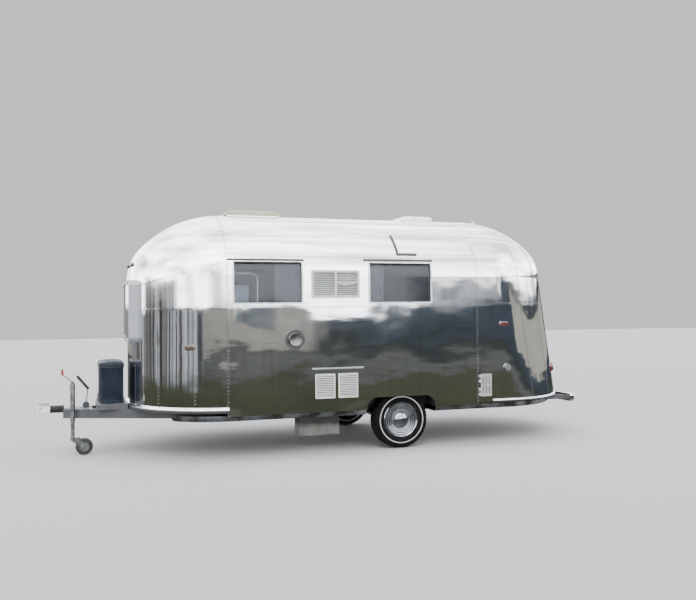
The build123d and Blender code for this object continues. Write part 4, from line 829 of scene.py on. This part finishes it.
# Dark paint: the real paint of the roof bracket. On the gutters the same dark is painted shade that stands
# for the shadow under them.
dark_tones = ((0.045, 0.040, 0.036), (0.075, 0.068, 0.060), (0.13, 0.12, 0.11))
dark_paint = finish("dark_paint", dark_tones, 14.0, (0.55, 0.80), 0.0, 0.0006)
gutter_pieces = (
    # side, height, from x, to x
    (-1, 2.121, -1.294, -0.4515),
    (-1, 2.131, 0.238, 1.078),
    (1, 2.131, 0.238, 1.078),
)
gutter_lines = [level_line(*piece) for piece in gutter_pieces]
gutter_width = 0.016
gutter_height = 0.014
gutters = band("window_gutters", gutter_lines, gutter_width, gutter_height, dark_paint)
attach(gutters, "caravan")

nose_curtain_half = 0.56
curtain_places = (
    # name, line of skin points and normals that it hangs inside of
    ("curtain_front_left", level_line(-1, spring, -0.769, -0.488)),
    ("curtain_middle_left", level_line(-1, spring, 0.309, 0.494)),
    ("curtain_nose", [entry for entry in end_line(spring, -1) if abs(entry[0].y) < nose_curtain_half]),
)
curtain_foot = 1.600
curtain_head = 2.105
curtain_inset = 0.062
curtain_rows = 12
fold_pitch = 0.044
fold_points = 10
fold_depth = 0.008
wire_radius = 0.002
curtain_tones = ((0.58, 0.55, 0.50), (0.68, 0.65, 0.60), (0.76, 0.73, 0.68))
curtain_cloth = finish("curtain_cloth", curtain_tones, 12.0, (0.75, 0.90), 0.0, 0.0003)


def tubes(name, paths, radius, material):
    """Round cord along paths of points, as one mesh."""
    curve = bpy.data.curves.new(name, "CURVE")
    curve.dimensions = "3D"
    curve.bevel_depth = radius
    curve.bevel_resolution = 2
    curve.use_fill_caps = True
    for points, closed in paths:
        spline = curve.splines.new("POLY")
        spline.points.add(len(points) - 1)
        for point, place in zip(spline.points, points):
            point.co = (*place, 1)
        spline.use_cyclic_u = closed
    piece = frozen(new_object(name, curve), name)
    piece.data.materials.clear()
    piece.data.materials.append(material)
    return piece


def along(line, distance):
    """Point and normal at a distance along a line of points and normals."""
    for (before, normal0), (after, normal1) in zip(line, line[1:]):
        length = (after - before).length
        if distance <= length:
            share = distance / length
            return before.lerp(after, share), normal0.lerp(normal1, share).normalized()
        distance -= length
    return line[-1]


def hung(line, z):
    """Line moved into the cabin by the curtains' inset, at height z."""
    return [Vector((*(point - normal * curtain_inset).xy, z)) for point, normal in line]


wire_lines = [level_line(-1, spring, -1.235, -0.475), level_line(-1, spring, 0.290, 1.055),
              curtain_places[2][1]]
curtain_wires = tubes("curtain_wires", [(hung(line, curtain_head), False) for line in wire_lines],
                      wire_radius, frame_metal)
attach(curtain_wires, "caravan")
for name, line in curtain_places:
    width = sum((after[0] - before[0]).length for before, after in zip(line, line[1:]))
    columns = round(width / fold_pitch) * fold_points
    vertices = []
    for row in range(curtain_rows + 1):
        z = curtain_head - (curtain_head - curtain_foot) * row / curtain_rows
        looseness = 0.55 + 0.45 * row / curtain_rows
        for column in range(columns + 1):
            distance = width * column / columns
            point, normal = along(line, distance)
            drift = 1.4 * ripple.noise(Vector((point.x * 9, point.y * 9, z * 2)))
            fold = fold_depth * looseness * sin(tau * distance / fold_pitch + drift)
            place = point - normal * (curtain_inset + fold)
            vertices.append((place.x, place.y, z))
    faces = quads(curtain_rows + 1, columns + 1, around=False)
    curtain = link_piece(name, vertices, faces, curtain_cloth, smooth=True)
    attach(curtain, "caravan")

# Vents, flue, hatch and water inlet of the left wall
# Weathered plastic grilles, the lower ones under a bright drip strip. One slat of the upper
# grille has come loose and bent down over the gap it left. The hatch is white, and the flue is
# a metal dish with a dark ring round it.

vent_tones = ((0.70, 0.70, 0.67), (0.80, 0.80, 0.77), (0.87, 0.87, 0.85))
vent_plastic = finish("vent_plastic", vent_tones, 7.0, (0.45, 0.65))
# Deep inside the grille the plastic is painted near black: painted shade in the recess behind the slats.
recess_shade = span(axes(place_of(vent_plastic))[1], 0.022 - half_width, 0.034 - half_width, 0.0, 0.97)
soil(vent_plastic, recess_shade, (0.05, 0.05, 0.048), 0.9)
paint(vent_plastic, "fridge_vent")

white_tones = ((0.84, 0.84, 0.82), (0.91, 0.91, 0.89), (0.95, 0.95, 0.94))
white_plastic = finish("white_plastic", white_tones, 6.0, (0.35, 0.55))
soil(white_plastic, patches(white_plastic, 16.0, 5.0, 0.58, 0.72, 0.5, (1, 1, 0.3)), (0.42, 0.40, 0.35))
panel_foot = 0.624
panel_pitch = 0.01877
panel_centres = (-0.225, 0.039)
panel_half = 0.100
panel_louvres = 13
slot_edge = 0.002
strip_foot = 0.930
x, _, z = axes(place_of(white_plastic))
louvre_share = maths("FRACT", maths("DIVIDE", maths("SUBTRACT", z, panel_foot), panel_pitch))
from_louvre = maths("ABSOLUTE", maths("SUBTRACT", louvre_share, 0.5))
from_panels = [maths("ABSOLUTE", maths("SUBTRACT", x, centre)) for centre in panel_centres]
panel_head = panel_foot + panel_louvres * panel_pitch
# The gaps between the louvres are painted near black: painted shade in the slots.
slot_shade = product(span(from_louvre, 0.22, 0.27),
                span(maths("MINIMUM", *from_panels), panel_half + slot_edge, panel_half),
                between(z, panel_foot + slot_edge, panel_head - slot_edge, slot_edge))
soil(white_plastic, maths("MULTIPLY", slot_shade, 0.95), 0.03, 0.8)
strip = span(z, strip_foot - slot_edge, strip_foot + slot_edge)
soil(white_plastic, strip, (0.30, 0.31, 0.32), 0.4)
plug(white_plastic, "Metallic", strip)
paint(white_plastic, "lower_vents")

hatch_tones = ((0.34, 0.35, 0.33), (0.42, 0.43, 0.41), (0.50, 0.51, 0.49))
hatch_white = finish("hatch_white", hatch_tones, 6.0, (0.30, 0.50))
# The lid's sides next to the wall are painted near black: painted shade in the gap round the lid.
lid_depth = axes(place_of(hatch_white))[1]
soil(hatch_white, span(lid_depth, -half_width - 0.003, -half_width - 0.001), 0.02)
paint(hatch_white, "service_hatch_lid")


def from_axis(material, middle_x, middle_z):
    """Distance from a line across the caravan, at an x and a height."""
    x, _, z = axes(place_of(material))
    return hypotenuse(maths("SUBTRACT", x, middle_x), maths("SUBTRACT", z, middle_z))


flue_x = -0.564
flue_z = 1.262
flue_tones = (0.09, 0.13, 0.18)
flue_metal = finish("flue_metal", flue_tones, 12.0, (0.34, 0.50), 1.0, 0.0003)
from_flue = from_axis(flue_metal, flue_x, flue_z)
dish = span(maths("POWER", from_flue, 2.0), 0.0, 0.007)
bump(flue_metal, dish, 0.020)
ring = product(span(from_flue, 0.084, 0.090), span(from_flue, 0.112, 0.104))
soil(flue_metal, maths("MULTIPLY", ring, 0.85), 0.05, 0.5)
paint(flue_metal, "wall_fittings")

slat_left = -0.0845
slat_right = 0.153
slat_top = 1.8815
slat_drop = 0.020
slat_swell = 0.012
slat_fall = 0.011
slat_sheet = 0.0022
slat_steps = 16
vertices = []
for step in range(slat_steps + 1):
    share = step / slat_steps
    x = slat_left + (slat_right - slat_left) * share
    bend = sin(pi * min(1.0, share * 1.25)) ** 2
    back = Vector((x, 0.006 - half_width, slat_top - slat_drop * bend * 0.3))
    front = Vector((x, -half_width - 0.004 - slat_swell * bend, slat_top - slat_fall - slat_drop * bend))
    crown = (back + front) / 2 + Vector((0, -0.004, 0.006))
    under = Vector((0, 0, -slat_sheet))
    vertices.extend((back, crown, front, front + under, crown + under, back + under))
faces = quads(slat_steps + 1, 6) + end_faces(slat_steps + 1, 6)
bent_tones = ((0.66, 0.65, 0.61), (0.74, 0.73, 0.69), (0.80, 0.79, 0.75))
bent_plastic = finish("bent_slat", bent_tones, 9.0, (0.40, 0.60))
bent_slat = link_piece("bent_slat", vertices, faces, bent_plastic, smooth=True)
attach(bent_slat, "caravan")

# Roof vents, pipe and bracket
# The front vent has a yellowed dome, the rear one a flat metal lid. A dark painted steel bracket
# is left on the shoulder of the roof from an aerial.

tan_tones = ((0.42, 0.36, 0.26), (0.52, 0.46, 0.35), (0.60, 0.55, 0.44))
tan_plastic = finish("tan_lid", tan_tones, 5.0, (0.40, 0.60))
paint(tan_plastic, "roof_vent_front_lid")
lid_metal = finish("lid_metal", trim_tones, 6.0, (0.35, 0.55), 0.8, 0.0004)
paint(lid_metal, "roof_vent_rear_lid")
pipe_plastic = finish("pipe_plastic", vent_tones, 12.0, (0.45, 0.65))
paint(pipe_plastic, "roof_pipe")
paint(dark_paint, "roof_bracket")

# Lamps
# Moulded plastic lenses, amber at the front and red at the tail, screwed to the skin. They have
# faded under a clear gloss.

for name, tones in (("amber_lamps", ((0.05, 0.030, 0.014), (0.085, 0.050, 0.022), (0.12, 0.072, 0.034))),
                    ("red_lamps", ((0.07, 0.008, 0.010), (0.11, 0.014, 0.016), (0.16, 0.030, 0.032)))):
    lens = finish(name + "_lens", tones, 18.0, (0.15, 0.35), 0.0, 0.0003)
    plug(lens, "Coat Weight", 0.7)
    plug(lens, "Coat Roughness", 0.08)
    paint(lens, name)

# Rub rails
# A half-round extrusion round the front and a smaller one round the tail, riveted on, bright on
# top; its lower half is darkened and dulled as painted shade.

rail_metal = finish("rub_rail", trim_tones, 8.0, (0.18, 0.38), 1.0, 0.0002)
x, _, z = axes(place_of(rail_metal))
front_rail = (0.531, 0.029)
rear_rail = (0.497, 0.017)
rear_rail_start = 0.7
at_rear = maths("GREATER_THAN", x, rear_rail_start)
middle = maths("MULTIPLY_ADD", at_rear, rear_rail[0] - front_rail[0], front_rail[0])
half = maths("MULTIPLY_ADD", at_rear, rear_rail[1] - front_rail[1], front_rail[1])
up_share = maths("DIVIDE", maths("SUBTRACT", z, middle), half)
bulge = rest(maths("POWER", maths("ABSOLUTE", up_share), 2.0))
bump(rail_metal, bulge, 0.016)
# Below the rail's middle it turns dark and dull: painted shade on its underside.
underside_shade = span(up_share, 0.30, -0.05, 0.0, 0.95)
soil(rail_metal, underside_shade, (0.05, 0.05, 0.048), 0.7)
plug(rail_metal, "Metallic", rest(underside_shade))
paint(rail_metal, "rub_rails")

# Road wheels
# Cross-ply style road tyres with a thin white ring, grooved tread and notched shoulders, moulded
# in one piece, on silver steel rims behind bright spun covers.

axle_x = 0.700
axle_z = 0.325
wheel_inset = (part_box("tyre_right")[0].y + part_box("tyre_right")[1].y) / 2
tyre_tones = ((0.004, 0.004, 0.005), (0.007, 0.007, 0.008), (0.014, 0.013, 0.013))
tyre_rubber = finish("tyre_rubber", tyre_tones, 14.0, (0.70, 0.90), 0.0, 0.0004)
plug(tyre_rubber, "Specular IOR Level", 0.1)
radius = from_axis(tyre_rubber, axle_x, axle_z)
white_ring = between(radius, 0.2555, 0.2660, 0.001)
soil(tyre_rubber, white_ring, (0.62, 0.62, 0.60), 0.7)
bump(tyre_rubber, white_ring, 0.0008)
fine_ring_pitch = 0.0045
fine_rings = maths("SINE", maths("MULTIPLY", radius, tau / fine_ring_pitch))
bump(tyre_rubber, product(fine_rings, between(radius, 0.274, 0.302, 0.004)), 0.0005)

tyre_flank = (
    # radius, distance inwards of the tyre's widest point, from the bead up to the shoulder
    (0.196, 0.026),
    (0.203, 0.016),
    (0.212, 0.009),
    (0.226, 0.004),
    (0.244, 0.001),
    (0.2605, 0.000),
    (0.276, 0.001),
    (0.290, 0.004),
    (0.302, 0.009),
    (0.312, 0.016),
    (0.319, 0.023),
    (0.3235, 0.032),
)
groove_places = (0.042, 0.014, -0.014, -0.042)
groove_half = 0.004
groove_depth = 0.007
tyre_radius = 0.325
tyre_half_width = 0.0925
tyre_segments = 176
notch_every = 4
notch_depth = 0.006
notch_zone = 0.046
notch_foot = 0.310


def tyre_profile():
    """Closed section of the tyre as (radius, distance from its middle plane)."""
    right = [(radius, tyre_half_width - inset) for radius, inset in tyre_flank]
    tread = []
    groove_foot = groove_half * 0.7
    for place in groove_places:
        tread.append((tyre_radius, place + groove_half))
        tread.append((tyre_radius - groove_depth, place + groove_foot))
        tread.append((tyre_radius - groove_depth, place - groove_foot))
        tread.append((tyre_radius, place - groove_half))
    left = [(radius, -across) for radius, across in reversed(right)]
    return right + tread + left


profile = tyre_profile()
for side, name in ((-1, "left"), (1, "right")):
    vertices = []
    for segment in range(tyre_segments):
        turn = tau * segment / tyre_segments
        for radius, across in profile:
            notched = segment % notch_every == 0 and abs(across) > notch_zone and radius > notch_foot
            reach = radius - (notch_depth if notched else 0.0)
            vertices.append((axle_x + reach * cos(turn), side * wheel_inset + across,
                             axle_z + reach * sin(turn)))
    faces = quads(tyre_segments, len(profile), closed=True)
    carcass = link_piece(f"road_tyre_{name}", vertices, faces, tyre_rubber)
    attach(carcass, f"wheel_{name}")
    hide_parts(f"tyre_{name}")

silver_tones = ((0.34, 0.35, 0.36), (0.42, 0.43, 0.44), (0.50, 0.51, 0.52))
rim_paint = finish("rim_silver", silver_tones, 12.0, (0.35, 0.55), 0.4, 0.0003)
paint(rim_paint, "rim_left", "rim_right")

# The chrome's tones are set dark as painted shade: the dark of the wheel arch that the covers mirror.
shaded_chrome_tones = ((0.17, 0.18, 0.195), (0.23, 0.24, 0.255), (0.30, 0.31, 0.325))
cover_chrome = finish("cover_chrome", shaded_chrome_tones, 9.0, (0.10, 0.20), 1.0, 0.00001)
radius = from_axis(cover_chrome, axle_x, axle_z)
cover_ring_pitch = 0.0232
rings = maths("SINE", maths("MULTIPLY", radius, tau / cover_ring_pitch))
ring_zone = between(radius, 0.104, 0.182, 0.004)
bump(cover_chrome, product(rings, ring_zone), 0.0008)
groove_dirt = product(ring_zone, span(rings, -0.2, -0.8, 0.0, 0.85))
soil(cover_chrome, groove_dirt, 0.10, 0.6)
rim_dirt = between(radius, 0.086, 0.108, 0.004)
soil(cover_chrome, maths("MULTIPLY", rim_dirt, 0.5), 0.14, 0.5)
paint(cover_chrome, "wheel_cover_left", "wheel_cover_right")

# Gas bottle cover
# A sewn hood of coated navy cloth over two bottles, with a flap round its top and black binding
# at its edges. It hangs from the bottles' tops and sags between them, folded down its sides.

cover_low, cover_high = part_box("gas_bottle_cover")
cover_middle = (cover_low + cover_high) / 2
cover_size = cover_high - cover_low
hood_corner = 0.085
hood_inset = 0.003
flap_height = 0.070
flap_step = 0.005
hood_shoulder = 0.030
top_drop = 0.002
loop_steps = 12
side_points = 16
hood_rows = 26
shoulder_rings = 4
top_rings = 6
cloth_tones = ((0.004, 0.007, 0.014), (0.007, 0.012, 0.023), (0.013, 0.019, 0.032))
hood_cloth = finish("hood_cloth", cloth_tones, 6.0, (0.45, 0.70), 0.0, 0.0006)
plug(hood_cloth, "Specular IOR Level", 0.15)
bump(hood_cloth, noise(place_of(hood_cloth), 420.0, 1.0), 0.0002)
dusty = maths("MULTIPLY", noise(place_of(hood_cloth), 10.0, 4.0),
              span(axes(place_of(hood_cloth))[2], cover_high.z - 0.09, cover_high.z - 0.02))
soil(hood_cloth, maths("MULTIPLY", dusty, 0.45), (0.14, 0.15, 0.17), 0.75)


def hood_ring(inset, z, crease):
    """Rounded ring of the hood at height z, with folds of depth crease running down it."""
    length = cover_size.x - 2 * inset
    width = cover_size.y - 2 * inset
    points = []
    for across, up in rounded_loop(length, width, max(0.02, hood_corner - inset), loop_steps, side_points):
        fold = crease * (ripple.noise(Vector((across * 14, up * 14, z * 3))) - 0.4)
        pull = 1 + min(0.0, fold) / max(0.05, hypot(across, up))
        points.append(Vector((cover_middle.x + across * pull, cover_middle.y + up * pull, z)))
    return points


rings = []
for row in range(hood_rows + 1):
    share = row / hood_rows
    z = cover_low.z + (cover_size.z - hood_shoulder) * share
    flap = z > cover_high.z - flap_height
    inset = hood_inset if flap else hood_inset + flap_step
    rings.append(hood_ring(inset, z, 0.004 + 0.008 * sin(pi * share)))
for step in range(1, shoulder_rings + 1):
    turn = pi / 2 * step / shoulder_rings
    inset = hood_inset + hood_shoulder * (1 - cos(turn))
    height = cover_high.z - hood_shoulder + (hood_shoulder - top_drop) * sin(turn)
    rings.append(hood_ring(inset, height, 0.004))
for step in range(1, top_rings + 1):
    inset = 0.038 + (cover_size.x / 2 - 0.060) * step / top_rings
    rings.append(hood_ring(inset, cover_high.z - top_drop - 0.004 * step / top_rings, 0.001))
ring_size = len(rings[0])
vertices = [point for ring in rings for point in ring]
faces = quads(len(rings), ring_size) + end_faces(len(rings), ring_size)[1:]
hood = link_piece("gas_hood", vertices, faces, hood_cloth, smooth=True)
bottle_tops = (-0.15, 0.15)
bottle_cap = 0.085
bottle_touch = 0.010
sag_frames = 20
sag_limit = 0.010
hood_cloth_values = {"quality": 6, "mass": 0.25, "tension_stiffness": 12,
                     "compression_stiffness": 12, "shear_stiffness": 6, "bending_stiffness": 0.6,
                     "shrink_min": -0.07}
held = []
for index, vertex in enumerate(hood.data.vertices):
    at_hem = index < ring_size
    over_bottle = vertex.co.z > cover_high.z - bottle_touch and any(
        hypot(vertex.co.x - cover_middle.x, vertex.co.y - middle) < bottle_cap for middle in bottle_tops)
    if at_hem or over_bottle:
        held.append(index)


def settle(piece, held, frames, limit):
    """Lets cloth sag from its held points under its own weight; no point moves over limit."""
    group = piece.vertex_groups.new(name="held")
    group.add(held, 1.0, "REPLACE")
    cloth = piece.modifiers.new("sag", "CLOTH")
    cloth.settings.vertex_group_mass = "held"
    for name, value in hood_cloth_values.items():
        setattr(cloth.settings, name, value)
    cloth.point_cache.frame_start = 1
    cloth.point_cache.frame_end = frames
    for frame_number in range(1, frames + 1):
        scene.frame_set(frame_number)
    depsgraph = bpy.context.evaluated_depsgraph_get()
    sagged = bpy.data.meshes.new_from_object(piece.evaluated_get(depsgraph))
    for before, after in zip(piece.data.vertices, sagged.vertices):
        move = after.co - before.co
        if move.length > limit:
            move = move * (limit / move.length)
        before.co = before.co + move
    bpy.data.meshes.remove(sagged)
    piece.modifiers.clear()
    piece.vertex_groups.clear()
    scene.frame_set(1)


settle(hood, held, sag_frames, sag_limit)
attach(hood, "caravan")
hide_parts("gas_bottle_cover")

binding_radius = 0.004
points = [vertex.co.copy() for vertex in hood.data.vertices]
flap_row = next(row for row in range(hood_rows) if rings[row][0].z > cover_high.z - flap_height)
hem_path = points[:ring_size]
flap_path = points[flap_row * ring_size:(flap_row + 1) * ring_size]
binding_paths = [(hem_path, True), (flap_path, True)]
for corner in range(4):
    column = corner * (loop_steps + side_points) + loop_steps // 2
    binding_paths.append(([points[row * ring_size + column] for row in range(flap_row)], False))
binding = tubes("hood_binding", binding_paths, binding_radius, black_rubber)
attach(binding, "caravan")
